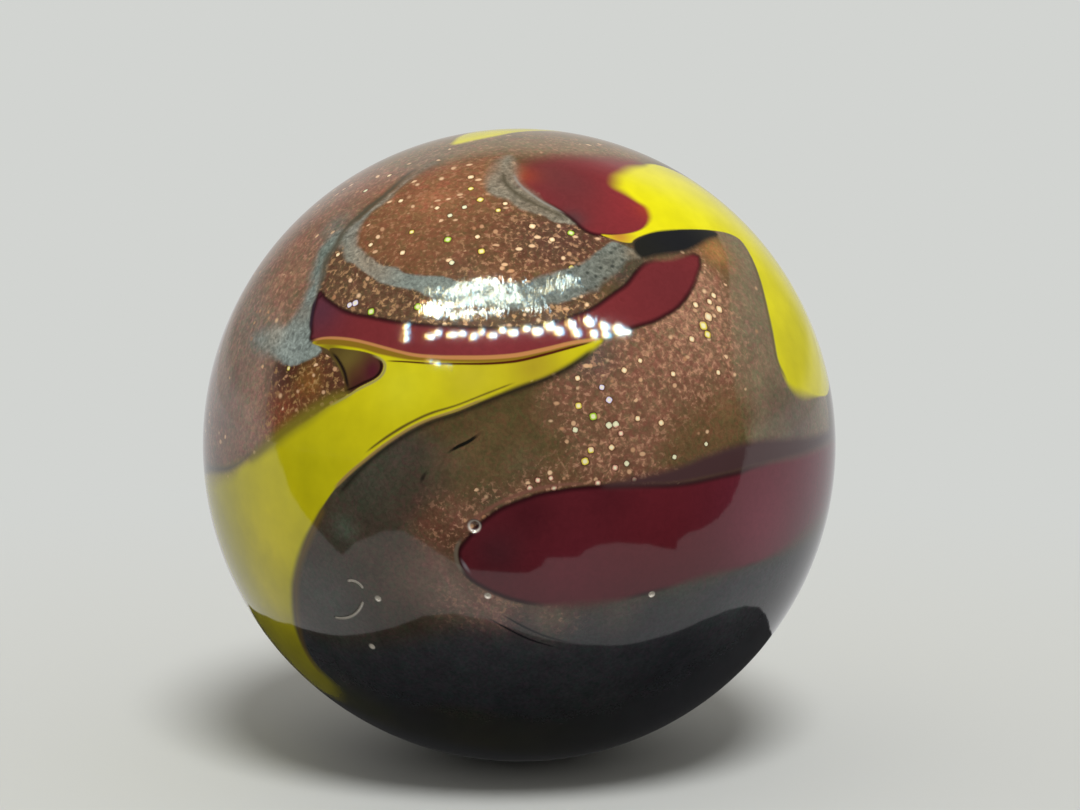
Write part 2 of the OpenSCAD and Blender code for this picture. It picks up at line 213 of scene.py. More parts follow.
# The glasses over the grounds, in laying order: name, width in mm of its soft edge, and
# the body colour of each of its fields
GLASSES = [
    ("grey", 0.1, {
        "grey_crescent": "#838c84", "grey_wedge": "#87806f", "grey_patch": "#7f8a84",
        "far_crescent": "#838c86"}),
    ("oxblood", 0.04, {
        "upper_oxblood": "#842f33", "middle_oxblood": "#7b2f32", "lower_oxblood": "#602028",
        "far_oxblood": "#6e262d", "far_lens": "#7b2c30"}),
    ("coal", 0.08, {"black_wedge": "#25251f"}),
    ("lemon", 0.05, {
        "main_ribbon": "#d4ca14", "right_ribbon": "#ebe218", "top_ribbon": "#e0d71c",
        "far_ribbon": "#ddd418", "far_main_ribbon": "#d4ca14"}),
    ("small_lens", 0.04, {"small_lens": "#5c4a22"}),
]

# Grounds under them, in laying order: field, colour, width in mm of its soft edge, and its
# flakes: how full of them, how full of bright ones, how golden (0 is copper, 1 is gold)
GROUNDS = [
    ("belly", "#414247", 0.9, (0, 0, 0)),
    ("left_flank", "#4b4136", 0.9, (0, 0, 0)),
    # the ribbon's tail under the ball: its dark olive is painted shade
    ("heel_ribbon", "#3f3d22", 0.7, (0, 0, 0)),
    ("left_shoulder", "#8c6c58", 0.3, (0.4, 0.15, 0.1)),
    ("far_shoulder", "#89705f", 0.5, (0.3, 0.1, 0.1)),
    ("crown", "#826a4c", 0.9, (0.3, 0.1, 0.1)),
    ("lens", "#80593d", 0.15, (0.4, 0.5, 0.35)),
    ("under_lens", "#6c523d", 0.15, (0.9, 0.4, 0.6)),
    ("wide_field", "#855f4a", 0.9, (0.6, 0.3, 0.15)),
    ("left_window", "#5f3c2b", 0.08, (0.9, 0.8, 0.9)),
    ("far_field", "#855f4a", 0.5, (0.7, 0.3, 0.25)),
    ("painted_reflection_flank", "#83735a", 0.12, (0, 0, 0)),
]
# A patch of plain brown glass over the goldstone at the right, too thin to be a field of
# the solid; its grey-brown and its left edge are a painted reflection of the pale room
THIN_FIELDS = {"painted_reflection_flank": [
    (57, 45), (53.5, 40), (50, 35.5), (46.3, 30.6), (43.6, 25.5), (41.8, 20.5), (40.8, 15.5),
    (40.9, 11.6), (41.7, 8), (42.4, 4.5), (44, 0), (56, -2), (70, 0), (74, 10), (72, 22), (73, 33),
    (74, 42), (66, 46.5),
]}
OLIVE = "#57472b"  # the glass that shows where no ground lies

# Soft spots of tint of each glass, in laying order: colour, place, radius in mm, strength
TINTS = {
    "ground": [
        # the belly and the dull glass at its right: darker towards the bottom, painted shade under
        # the ball, and lighter at (45, -22), a painted reflection of the pale table
        ("#55565a", (45, -22), 1.1, 0.7), ("#2b2c33", (-28, -47), 1.6, 0.8),
        ("#2b2c33", (0, -46), 1.5, 0.7), ("#2c2d34", (33, -36), 1.6, 0.7),
        ("#45462c", (-46, -46), 0.9, 0.8), ("#2e2f2c", (20, -53), 1.8, 0.9),
        ("#303137", (50, -58), 2.5, 0.9),
        # the left window
        ("#9c7462", (-48.5, 6.5), 0.5, 0.9), ("#432528", (-47, 16), 0.45, 0.9),
        ("#7a5a2a", (-41, 17.5), 0.4, 0.8), ("#9a5638", (-44, 9.5), 0.6, 0.9),
        ("#8a4a2c", (-46, 12), 0.5, 0.7), ("#4a281e", (-44, 19), 0.5, 0.8),
        ("#9c6a34", (-38.5, 16), 0.4, 0.8),
        # the goldstone, and the flank with its painted reflection
        ("#8a7a5e", (60, 40), 0.5, 0.8), ("#6a543a", (2, 5), 0.5, 0.6),
        ("#6e543c", (6, 12), 0.5, 0.6), ("#a57c63", (34, 27), 1.5, 0.9),
        ("#a87e64", (38, 33), 0.9, 0.8), ("#8d6650", (24, 18), 1.2, 0.7),
        ("#77563b", (35, 9.5), 0.9, 0.9), ("#745a3c", (30, 7), 0.8, 0.9),
        ("#745a3c", (40, 11), 0.7, 0.8), ("#5c554e", (13, 22), 0.6, 0.8),
        ("#7d5f45", (13, 12), 0.9, 0.6), ("#665538", (-5, 6), 1.0, 0.6),
        ("#6a583f", (-9.5, 3.6), 0.6, 0.6), ("#6a5640", (1, 4), 0.5, 0.6),
        ("#70593c", (8, 1.5), 0.5, 0.7), ("#ac7c48", (50, 40.5), 0.6, 0.9),
        ("#6a5a50", (57, 7.5), 1.2, 0.85), ("#6b5b4c", (49, 9), 0.7, 0.5),
        ("#80715a", (48.5, 25), 0.6, 0.9),
        # the lens and its rim
        ("#a06a4a", (-27, 56), 1.2, 0.9), ("#93694a", (-8, 60), 0.9, 0.6),
        ("#614b3b", (10, 44), 0.9, 0.8), ("#8c5c42", (-33, 57), 0.7, 0.6),
        ("#5d4c3c", (-12, 37), 0.7, 0.5), ("#a2684a", (-1, 60.5), 0.5, 0.7),
        ("#4c453b", (22, 36.8), 0.45, 0.9), ("#51493c", (27, 39), 0.4, 0.8),
        ("#6a4c3e", (5, 44), 1.1, 0.6), ("#5f4238", (16, 45), 0.8, 0.7),
        # the left shoulder and the crown
        ("#77746c", (-56, 23), 0.7, 0.7), ("#7b7a70", (-64, 27), 0.6, 0.5),
        ("#9c6c4c", (-58, 33), 0.9, 0.8), ("#94644c", (-62, 44), 0.9, 0.7),
        ("#73766c", (-52, 46), 0.5, 0.8), ("#8f5f48", (-52, 56), 0.8, 0.7),
        ("#7a6a58", (-42, 66), 0.8, 0.7), ("#7c6862", (-62, 12), 1.0, 0.7),
        ("#a88c7d", (-53.5, 12), 0.9, 0.6), ("#9d8d80", (-66, 24), 1.6, 0.6),
        # the olive bend and the dull glass under it
        ("#86695a", (-13.5, -12.5), 0.5, 0.8), ("#4b443c", (-20, 8), 0.6, 0.7),
        ("#4b4c40", (-26, 1), 0.8, 0.7), ("#5f6a5c", (-30, -7.5), 0.35, 0.6),
        ("#5b5c57", (-36, -21), 1.1, 0.8), ("#665548", (-19, -15), 1.0, 0.8),
        ("#8c7264", (-11, -18), 0.7, 0.7), ("#a17c6c", (-4, -19.7), 0.6, 0.8),
        ("#86705f", (6, -21.5), 0.6, 0.7), ("#675e54", (18, -21), 0.7, 0.6),
        ("#50504a", (31, -19), 0.8, 0.5), ("#6e4a39", (-12, -6.5), 0.7, 0.9),
        ("#85604e", (-10, -3.5), 0.35, 0.6), ("#6a5844", (-4, -2), 0.5, 0.7),
    ],
    "grey": [
        ("#6f7770", (13, 35), 1.1, 0.8), ("#7d705e", (5, 52), 0.7, 0.7),
        ("#a39a8a", (-51, 24), 0.5, 0.8), ("#7e7568", (-45.5, 28), 0.35, 0.7),
        ("#8c857a", (-45, 45), 0.5, 0.7), ("#8f8672", (-40, 41), 0.5, 0.5),
        ("#8f806c", (-40.5, 54), 0.8, 0.9), ("#857462", (-38, 61), 0.8, 0.9),
        ("#96a09a", (-46, 22), 0.7, 0.8), ("#6c766c", (-48, 40), 0.7, 0.8),
        ("#767b73", (12, 35), 1.2, 0.8), ("#7d664c", (26, 40.3), 0.3, 0.9),
        ("#8a7966", (-5, 60), 0.6, 0.6), ("#8b8374", (-30, 36.5), 0.6, 0.7),
        ("#978874", (-34, 39.5), 0.6, 0.8), ("#968a7c", (-39, 43.5), 0.4, 0.7),
        ("#6c6c60", (21, 38.5), 0.8, 0.8),
    ],
    "oxblood": [
        ("#6c3032", (18, 53), 1.0, 0.8), ("#6c2b2f", (32, 35), 1.3, 0.7),
        ("#5c3340", (-41, 29), 0.8, 0.9), ("#87353a", (-5, 24), 1.4, 0.8),
        ("#933236", (33, 53), 1.2, 0.8), ("#6c3436", (17, 58), 0.9, 0.7),
        ("#703b39", (10, 62), 0.7, 0.7), ("#5a3a3c", (14, 48.5), 0.35, 0.9),
        ("#48181f", (2, -3.5), 0.6, 0.7), ("#48181f", (16, -1), 0.6, 0.6),
        ("#672029", (24, -6), 1.5, 0.7), ("#6c2a38", (45, -5), 1.6, 0.8),
        ("#743040", (62, -3), 1.8, 0.9), ("#4a252b", (-3, -10), 0.6, 0.7),
        ("#8a3a4c", (48, -10), 1.2, 0.6), ("#ac402a", (38, 50), 0.4, 0.9),
        ("#9c442e", (1.5, 60.5), 0.4, 0.8), ("#6c2430", (9, -14), 1.0, 0.7),
    ],
    "coal": [
        ("#1f2025", (41, 43.5), 1.2, 0.8),
    ],
    "lemon": [
        ("#c8803a", (24.5, 44.5), 0.35, 0.9), ("#b39d26", (3, 20.5), 0.8, 0.9),
        ("#c6b830", (-8, 19), 0.7, 0.7), ("#dcd62a", (-20, 17), 0.7, 0.7),
        # The spots at (-48, -12) and (-53, -22) are painted light, lighter than the lemon glass,
        # and those at (-54, -36) and (-46, -47), darker towards the bottom, are painted shade
        ("#c4bd10", (-36, 4), 1.0, 0.7), ("#fbec10", (-48, -12), 1.3, 0.9),
        ("#fff018", (-53, -22), 1.0, 0.9), ("#b3aa1c", (-54, -36), 1.2, 0.9),
        ("#4f4a18", (-46, -47), 0.9, 0.9), ("#8f7f1c", (-36, 22.8), 0.35, 0.9),
        ("#f4ed10", (53, 51), 1.6, 0.9), ("#d2c81e", (60, 20), 0.9, 0.7),
    ],
    "small_lens": [
        ("#54162a", (-26.3, 19.1), 0.46, 1.0), ("#471a20", (-28.6, 17), 0.3, 0.9),
        ("#71622e", (-31, 20.6), 0.4, 0.9), ("#5a3024", (-29, 18.8), 0.3, 0.5),
    ],
}

# Where a glass's edge is soft: place, radius in mm, width in mm of the edge
SOFT_EDGES = {
    "grey": [
        ((-37.5, 50), 0.5, 0.25), ((-38, 44), 0.4, 0.2), ((17, 35), 0.7, 0.3),
        ((26, 41), 0.5, 0.14), ((-49, 44), 0.7, 0.45), ((-49.5, 36), 0.8, 0.5),
        ((-48, 30), 0.6, 0.5), ((-57, 22), 1.0, 0.8), ((-38, 62), 0.9, 0.4),
        ((-41, 54), 0.6, 0.2), ((-6, 63), 0.8, 0.6), ((-2, 54), 0.8, 0.2), ((0, 30.5), 0.9, 0.25),
    ],
    "oxblood": [
        ((5, 64), 1.0, 0.9), ((25, 67), 1.5, 1.1), ((45, 66), 1.5, 1.1), ((2, 60.5), 0.7, 0.5),
        ((66, -13), 2.0, 0.9), ((35, -17), 1.2, 0.4), ((12, -20), 1.0, 0.5), ((60, 3), 1.8, 0.5),
        ((35, 39.8), 0.9, 0.25), ((38, 50.5), 0.6, 0.3),
    ],
    "coal": [
        ((35, 39.5), 0.9, 0.3), ((48, 42), 0.8, 0.3),
    ],
    "lemon": [
        ((-43, -14), 1.1, 0.26), ((-46, 8), 0.9, 0.35), ((-38, 13), 0.6, 0.2),
        ((-58, -1), 1.1, 0.8), ((-50, -2), 1.4, 0.3), ((-70, -3), 1.6, 0.9),
        ((-46, -22), 1.6, 0.28), ((-48, -46), 1.6, 0.8), ((12, 22), 0.7, 0.2),
        ((0, 17), 0.8, 0.15), ((60, 13), 0.8, 0.5), ((57, 25), 1.0, 0.12), ((-30, 75), 1.4, 0.3),
        ((33, 58.5), 0.7, 0.75), ((37, 50), 0.6, 0.28), ((45, 63), 1.0, 0.5),
    ],
}

# The grey glass's pits are painted as dark spots: painted shade
PITTED_AT, PITTED_R = (17, 37), 1.4  # where the grey glass is full of holes: place, mm

# Patches fuller or emptier of flakes: place, radius in mm, how full, how full of bright
FLAKE_PATCHES = [
    ((4, 44), 1.2, 0.85, 0.7), ((14, 45), 0.8, 0.9, 0.6), ((35, 26), 1.6, 1.0, 0.5),
    ((31, 18), 1.2, 0.9, 0.3), ((14, 11), 0.9, 0.7, 0.4), ((14, 4), 0.5, 0.9, 0.6),
    ((4, 1), 0.5, 0.8, 0.3), ((9, 1.6), 0.35, 1.0, 0.7), ((15, 1.8), 0.35, 1.0, 0.8),
    ((21, 2.2), 0.4, 1.0, 0.7), ((26, 2.5), 0.35, 0.8, 0.3), ((-4.5, -1), 0.35, 0.8, 0.4),
    ((-11, -5), 0.6, 0.8, 0.0), ((-10, -19), 0.7, 0.4, 0.0), ((-3, -19.5), 0.5, 0.6, 0.1),
    ((8, -21.5), 0.5, 0.4, 0.1), ((38, 10), 0.8, 0.0, 0.0), ((31, 7), 0.7, 0.05, 0.05),
    ((38, 3), 0.5, 0.1, 0.0), ((-10, 37), 0.6, 0.5, 0.1), ((-60, 12), 1.2, 0.1, 0.0),
    ((-47.5, 14), 0.45, 0.6, 0.2), ((-56, 34), 1.0, 0.7, 0.2),
]

# Threads and thin lines, in laying order: name, colour, half of the width in mm over which
# its sides fade, and (longitude, latitude, width in mm) along it
LINES = [
    ("lemon_shade", "#857a26", 0.22, [
        (-53.5, 1.6, 0.1), (-50, 3.6, 0.2), (-46, 6, 0.3), (-42, 8.6, 0.34),
        (-37, 11.6, 0.3), (-32.5, 14.2, 0.18), (-29, 15.4, 0.05)]),
    ("shoulder_shadow", "#5d5547", 0.12, [
        (-80, -3.5, 0.25), (-74, -2, 0.25), (-68, -1.3, 0.2), (-61, -0.4, 0.15),
        (-56, 1.2, 0.08), (-51, 4, 0.03)]),
    ("dark_comma", "#1d1916", 0.03, [
        (-15.9, 0.6, 0.03), (-15.6, 1.6, 0.09), (-15, 2.8, 0.08), (-14.2, 3.6, 0.02)]),
    ("maroon_band", "#4d3637", 0.14, [
        (13, 0.7, 0.05), (20, 1.3, 0.24), (27, 1.8, 0.4), (33, 2.8, 0.56), (39, 3.6, 0.66),
        (45, 4.1, 0.66), (53, 4, 0.5), (62, 3.8, 0.36), (76, 3.8, 0.3), (92, 3, 0.2)]),
    ("crescent_shadow", "#545042", 0.13, [
        (-40.7, 63.2, 0.12), (-42.2, 61, 0.14), (-42.2, 57.1, 0.14), (-42.9, 53.5, 0.16),
        (-44.5, 51, 0.18), (-45.7, 48.2, 0.18), (-46.7, 46.2, 0.14), (-46.9, 44.2, 0.14),
        (-46.2, 41.8, 0.16), (-46.2, 39.8, 0.16), (-46, 37.9, 0.14), (-44.6, 35.5, 0.12),
        (-43.9, 33.7, 0.1), (-43.8, 31.9, 0.08)]),
    ("patch_edge", "#352430", 0.05, [
        (-43.8, 32, 0.08), (-43.3, 29.5, 0.1), (-42.4, 26.8, 0.1), (-41.5, 24.6, 0.08)]),
    ("window_edge", "#8d7262", 0.06, [
        (-48.9, 18.5, 0.04), (-49.1, 14, 0.05), (-48.9, 9.5, 0.05), (-48.4, 6.5, 0.03)]),
    ("wedge_core", "#57503f", 0.09, [
        (-5.5, 62, 0.08), (-4.2, 58.5, 0.12), (-0.5, 55.2, 0.12), (4.5, 52.4, 0.09),
        (9.5, 50.1, 0.06), (13, 48.3, 0.04)]),
    ("wedge_right_line", "#98948a", 0.05, [
        (-1.6, 61.5, 0.03), (-0.4, 58.8, 0.05), (2.2, 56.2, 0.05), (6, 53.4, 0.05),
        (9.4, 51.4, 0.04), (12.6, 49.6, 0.03)]),
    ("gold_band", "#8f6f1e", 0.035, [
        (-41, 23.1, 0.1), (-39, 23.4, 0.14), (-36, 23.7, 0.18), (-32, 23.6, 0.19),
        (-28.5, 23.3, 0.19), (-25, 22.65, 0.2), (-21, 21.95, 0.15), (-18, 21.6, 0.13),
        (-14, 21.5, 0.12), (-10, 21.45, 0.12), (-5, 21.5, 0.12), (0, 21.9, 0.11),
        (5, 22.9, 0.1), (10, 23.95, 0.08), (14.5, 24.7, 0.04)]),
    ("tan_thread", "#c98a54", 0.025, [
        (-41, 23.4, 0.05), (-38, 24.1, 0.06), (-35, 24.3, 0.07), (-31.5, 24.2, 0.07),
        (-28.5, 23.85, 0.07), (-25, 23.25, 0.07), (-21, 22.5, 0.07), (-18, 22.05, 0.08),
        (-14, 21.85, 0.09), (-10, 21.85, 0.1), (-5, 21.95, 0.1), (0, 22.35, 0.1),
        (5, 23.3, 0.1), (10, 24.35, 0.09), (15.5, 24.9, 0.05)]),
    ("red_line", "#4f1a0c", 0.02, [
        (-24, 20.9, 0.03), (-20, 20.9, 0.04), (-15, 20.75, 0.05), (-10, 20.8, 0.05),
        (-5, 20.9, 0.06), (0, 21.35, 0.07), (5, 22.45, 0.07), (10, 23.65, 0.06),
        (14, 24.5, 0.03)]),
    ("lower_tan", "#a98b50", 0.035, [
        (-32, -1, 0.07), (-28.6, 2.1, 0.08), (-25.3, 4.7, 0.08), (-22.5, 6.9, 0.08),
        (-19.6, 8.9, 0.07), (-17.3, 10.3, 0.07), (-14.3, 11.7, 0.06), (-10, 13.2, 0.05),
        (-5, 15.3, 0.05)]),
    ("lower_olive", "#66561c", 0.03, [
        (-26, 5.4, 0.03), (-22.5, 8, 0.06), (-19.6, 9.9, 0.07), (-17.3, 11.2, 0.06),
        (-14.3, 12.6, 0.06), (-10, 14, 0.04), (-5, 16, 0.04), (0, 17.9, 0.03)]),
    ("lower_shadow", "#1d1c14", 0.1, [
        (-31, -1.8, 0.08), (-25.3, 3.9, 0.08), (-19.6, 8.1, 0.08), (-14.3, 11, 0.08),
        (-10, 12.5, 0.08), (-5, 14.6, 0.08), (0, 16.6, 0.1), (5.2, 18.4, 0.12),
        (10.2, 20.9, 0.12), (14, 23.4, 0.08)]),
    ("flank_edge", "#7d6430", 0.14, [
        (-33.4, -3.4, 0.06), (-37.2, -9, 0.1), (-42, -16, 0.12), (-45.2, -22.6, 0.12),
        (-47.5, -27.6, 0.12), (-50.2, -34, 0.1), (-50.4, -40, 0.06)]),
    ("lens_fringe", "#a59a5c", 0.035, [
        (-27, 21.9, 0.03), (-24.9, 21.3, 0.05), (-23.6, 20.3, 0.06), (-23.7, 18.8, 0.07),
        (-25, 17.5, 0.06), (-27.9, 16, 0.05), (-30, 14.7, 0.04), (-34, 12.5, 0.03)]),
    ("lens_shade", "#221008", 0.03, [
        (-31.5, 15.3, 0.05), (-29.4, 16, 0.06), (-27.4, 17, 0.06), (-25.2, 18.1, 0.06),
        (-24.3, 19.3, 0.07), (-24.5, 20.6, 0.07), (-25.8, 21.4, 0.05)]),
    ("lens_left_line", "#221811", 0.035, [
        (-35.8, 22.1, 0.05), (-33.6, 20.8, 0.08), (-31.6, 18.8, 0.09), (-30.4, 16.6, 0.08),
        (-29.7, 15.2, 0.05)]),
    ("ribbon_shadow", "#6f6444", 0.07, [
        (56, 15, 0.06), (54.2, 19, 0.08), (54.8, 22, 0.1), (56.8, 27.3, 0.1),
        (58.5, 30.6, 0.1), (60.6, 34, 0.1), (62.8, 37.5, 0.08), (64, 40, 0.06)]),
    ("red_fringe", "#84594a", 0.05, [
        (-9, -6.4, 0.05), (-6.3, -4, 0.07), (-2.5, -1.5, 0.08), (2.4, 0.4, 0.08),
        (7, 1.2, 0.07), (12, 1.3, 0.05)]),
    ("tip_fringe", "#74695a", 0.04, [
        (-8.8, -7.2, 0.05), (-10, -9.5, 0.09), (-9.9, -12, 0.09), (-8.6, -14.2, 0.06)]),
    ("tip_streak", "#8a7f86", 0.03, [
        (-9.5, -10.8, 0.05), (-8.7, -12.3, 0.08), (-7.6, -14, 0.05)]),
    ("chill_mark", "#1c1d20", 0.025, [
        (-5.6, -21.6, 0.02), (-2.2, -23.7, 0.05), (2.3, -26.2, 0.05), (8, -28.2, 0.02)]),
    ("second_chill_mark", "#1c1d20", 0.025, [
        (-3, -20.9, 0.02), (0.5, -23.2, 0.05), (5, -25.5, 0.05), (10.4, -27.2, 0.02)]),
    ("dark_streak", "#15140f", 0.02, [
        (-11.8, 5.9, 0.03), (-9.8, 7.2, 0.08), (-7.8, 8.2, 0.09), (-5.6, 9.8, 0.05)]),
]

# Painted glints: flakes that face the light, painted as bright dots into the colour: colour,
# and (longitude, latitude, width in mm) of each
PAINTED_GLINTS = [
    ("#f4cc98", [
        (-16.2, 59.9, 0.13), (-34.9, 52.7, 0.11), (-26.1, 40.8, 0.11), (-9.3, 44.5, 0.1),
        (-35.5, 42.2, 0.1), (-3.4, 52.4, 0.1), (-22.1, 51.1, 0.1), (-50.9, 59.8, 0.1),
        (3.6, 46.9, 0.13), (8.0, 43.9, 0.11), (-43.6, 39.8, 0.1), (6.3, 55.1, 0.1),
        (18.8, 19.5, 0.11), (28.0, 18.5, 0.1), (37.6, 18.2, 0.1), (10.4, 18.4, 0.1),
        (20.4, 11.5, 0.1), (24.6, 10.6, 0.11), (12.1, 6.7, 0.12), (15.6, 7.0, 0.11),
        (38.8, 27.9, 0.18), (36.9, 26.4, 0.18), (42.3, 29.1, 0.15), (36.7, 30.2, 0.12),
        (42.3, 31.7, 0.12), (40.5, 30.6, 0.12), (33.4, 24.2, 0.12), (22, 21, 0.09)]),
    ("#ecd850", [
        (-14.5, 56.4, 0.11), (-10.6, 53.4, 0.13), (-7.9, 41.4, 0.13), (-26.0, 45.3, 0.1),
        (10.3, 13.9, 0.12), (11.1, 4.9, 0.14), (37.3, 24.8, 0.15), (-5.1, 50.7, 0.1),
        (-44.7, 18.4, 0.09), (11.4, 38.0, 0.11)]),
    ("#a8d22c", [
        (-16.2, 43.8, 0.14), (-28.8, 29.3, 0.14), (-19.2, 30.5, 0.14), (12.7, 12.1, 0.14),
        (12.7, 45.3, 0.13)]),
    ("#dfe0b8", [
        (15.3, 10.6, 0.12), (16.5, 10.7, 0.12), (9.6, 10.0, 0.1), (-14.4, 51.4, 0.1),
        (-17.6, 49.3, 0.1), (-14.0, 39.0, 0.1), (18.1, 4.3, 0.1), (33.0, 6.6, 0.08),
        (26.7, 4.9, 0.09), (-53.5, 55.0, 0.1)]),
    ("#e4d8f4", [
        (15.6, 14.7, 0.12), (14.5, 16.8, 0.1), (-33.0, 30.7, 0.13), (-34.2, 30.3, 0.11)]),
    ("#e0a08a", [
        (16.1, 3.7, 0.11), (19.4, 1.6, 0.1), (13.2, 1.3, 0.11), (3.4, 2.0, 0.1), (5.5, 2.3, 0.09),
        (2.1, 0.7, 0.11), (6.0, 0.7, 0.11), (17.3, 9.2, 0.1)]),
]

# Where the outlines come to sharp points
TIPS = [(15.5, 24.7), (-35.9, 22.3), (-30.2, 15), (-24.2, 19.5), (20, 44.8), (27, 41.5),
        (55.8, 43.6), (15, 47.2), (27.6, 39.7), (-9.6, -10), (-41, 24)]


def direction(places):
    """Unit directions of places on the ball."""
    lon, lat = np.radians(np.asarray(places, float)).reshape(-1, 2).T
    return np.stack([np.cos(lat) * np.sin(lon), -np.cos(lat) * np.cos(lon), np.sin(lat)], 1)


def unit(v):
    return v / np.linalg.norm(v, axis=-1, keepdims=True)


def compass(axis):
    """The directions east and north along the ball's skin, at a direction."""
    east = unit(np.cross([0, 0, 1], axis))
    return east, np.cross(axis, east)


def linear(colour):
    """Linear red, green and blue of an sRGB hex colour."""
    srgb = np.array([int(colour[i:i + 2], 16) for i in (1, 3, 5)]) / 255
    return np.where(srgb <= 0.04045, srgb / 12.92, ((srgb + 0.055) / 1.055) ** 2.4)


def rgba(colour):
    return (*linear(colour), 1.0)


CURVE_STEPS = 6  # points of a smooth curve to each stretch between two places


def curve_through(places, closed=True):
    """Directions along a smooth curve through the places."""
    p = direction(places)
    if closed:
        p = np.concatenate([p[-1:], p, p[:2]])
    else:
        p = np.concatenate([2 * p[:1] - p[1:2], p, 2 * p[-1:] - p[-2:-1]])
    a, b, c, d = (p[i:len(p) - 3 + i, None] for i in range(4))
    t = (np.arange(CURVE_STEPS) / CURVE_STEPS)[None, :, None]
    curve = (b + (c - a) * t / 2 + (2 * a - 5 * b + 4 * c - d) * t ** 2 / 2
             + (3 * b - a - 3 * c + d) * t ** 3 / 2).reshape(-1, 3)
    if not closed:
        curve = np.concatenate([curve, p[-2:-1]])
    return unit(curve)


BLOCK = 20000  # directions worked on at once


def along_curve(spots, curve, closed):
    """For each direction, in mm: how far it is from the curve, which is positive on the
    curve's left side, and how far along the curve its nearest point is."""
    starts = curve if closed else curve[:-1]
    ends = np.roll(curve, -1, 0) if closed else curve[1:]
    lengths = np.linalg.norm(ends - starts, axis=1)
    before = np.concatenate([[0], np.cumsum(lengths)[:-1]])
    nearest = np.concatenate([(spots[i:i + BLOCK] @ curve.T).argmax(1)
                              for i in range(0, len(spots), BLOCK)])
    far = np.full(len(spots), np.inf)
    side, along = np.ones(len(spots)), np.zeros(len(spots))
    for step in (-1, 0):
        k = nearest + step
        k = k % len(starts) if closed else k.clip(0, len(starts) - 1)
        a, ab = starts[k], ends[k] - starts[k]
        t = ((spots - a) * ab).sum(1) / (ab * ab).sum(1)
        inner = t.clip(0, 1)
        d = np.linalg.norm(spots - a - ab * inner[:, None], axis=1)
        closer = d < far
        far[closer] = d[closer]
        side[closer] = np.sign((spots * np.cross(a, ab)).sum(1))[closer]
        if not closed:
            inner = np.where((k == 0) & (t < 0) | (k == len(starts) - 1) & (t > 1), t, inner)
        along[closer] = (before[k] + inner * lengths[k])[closer]
    return far * side * BALL_R, along * BALL_R


def field_depth(spots, places):
    """How deep in mm each direction lies in the field inside an outline. It is negative
    outside the field."""
    rim = curve_through(places)
    axis = unit(rim.sum(0))
    east, north = compass(axis)

    def flat(v):
        return (v @ np.stack([east, north], 1)) / (1 + v @ axis)[:, None]

    far, _ = along_curve(spots, rim, True)
    x0, y0 = flat(rim).T
    x1, y1 = np.roll(flat(rim), -1, 0).T
    inside = []
    for i in range(0, len(spots), BLOCK):
        x, y = flat(spots[i:i + BLOCK]).T[:, :, None]
        crossed = (y0 > y) != (y1 > y)
        at = x0 + (y - y0) * (x1 - x0) / np.where(y1 == y0, 1e-9, y1 - y0)
        inside.append((crossed & (x < at)).sum(1) % 2 == 1)
    return np.abs(far) * np.where(np.concatenate(inside), 1, -1)


def soft_step(x, low_edge, high_edge):
    t = ((x - low_edge) / (high_edge - low_edge)).clip(0, 1)
    return t * t * (3 - 2 * t)


def apart(spots, place):
    """Distance in mm over the ball from a place to each direction."""
    return np.arccos((spots @ direction(place)[0]).clip(-1, 1)) * BALL_R


def spot_weight(spots, place, radius):
    """1 at a place on the ball, falling away softly over the radius in mm."""
    return np.exp(-((apart(spots, place) / radius) ** 2))


# ---------------------------------------------------------------- the ball's mesh
def points(mesh):
    co = np.empty(len(mesh.vertices) * 3)
    mesh.vertices.foreach_get("co", co)
    return co.reshape(-1, 3)


def move_points(mesh, co):
    mesh.vertices.foreach_set("co", co.ravel())
    mesh.update()


def face_middles(mesh):
    middles = np.empty(len(mesh.polygons) * 3)
    mesh.polygons.foreach_get("center", middles)
    return unit(middles.reshape(-1, 3))


def split_faces(ball, wanted):
    """Halves the edges of the wanted faces, and puts the new points back on the ball."""
    mesh = ball.data
    mesh.vertices.foreach_set("select", np.zeros(len(mesh.vertices), bool))
    mesh.edges.foreach_set("select", np.zeros(len(mesh.edges), bool))
    mesh.polygons.foreach_set("select", wanted)
    bpy.ops.object.mode_set(mode="EDIT")
    bpy.ops.mesh.subdivide(number_cuts=1, ngon=False)
    bpy.ops.object.mode_set(mode="OBJECT")
    move_points(mesh, unit(points(mesh)) * BALL_R * MM)


CUBE_CUTS = 87  # cuts across each side of the cube that becomes the ball

bpy.ops.object.select_all(action="DESELECT")
bpy.ops.mesh.primitive_cube_add(size=2)
ball = bpy.context.object
ball.name = "marble_glass"
bpy.ops.object.mode_set(mode="EDIT")
bpy.ops.mesh.select_mode(type="FACE")
bpy.ops.mesh.subdivide(number_cuts=CUBE_CUTS)
bpy.ops.object.mode_set(mode="OBJECT")
# Evened out before rounding, so that the faces come out nearly the same size all over
move_points(ball.data, unit(np.tan(points(ball.data) * math.pi / 4)) * BALL_R * MM)

# Marks on the surface
BUBBLE_AT, BUBBLE_W, BUBBLE_DEPTH = (-6.9, -5.6), 0.36, 0.1
PINHOLES_AT = [(-25.1, -19.3), (-29.2, -29.4), (24, -18.4), (-5, -17.7)]
PINHOLE_W, PINHOLE_DEPTH = 0.16, 0.05
BRUISE_W, BRUISE_DEPTH = 0.08, 0.03
BRUISES = [((-29.8, -18.4), 0.3, 28, 110), ((-35.3, -16.9), 1.08, 268, 330)]


def bruise_curve(place, circle_r, from_angle, to_angle):
    """Directions along a bruise's arc, its angles counted from east towards north."""
    axis = direction(place)[0]
    east, north = compass(axis)
    turn = np.radians(np.linspace(from_angle, to_angle, 25))[:, None]
    reach = circle_r / BALL_R
    return (axis * math.sqrt(1 - reach * reach)
            + (np.cos(turn) * east + np.sin(turn) * north) * reach)


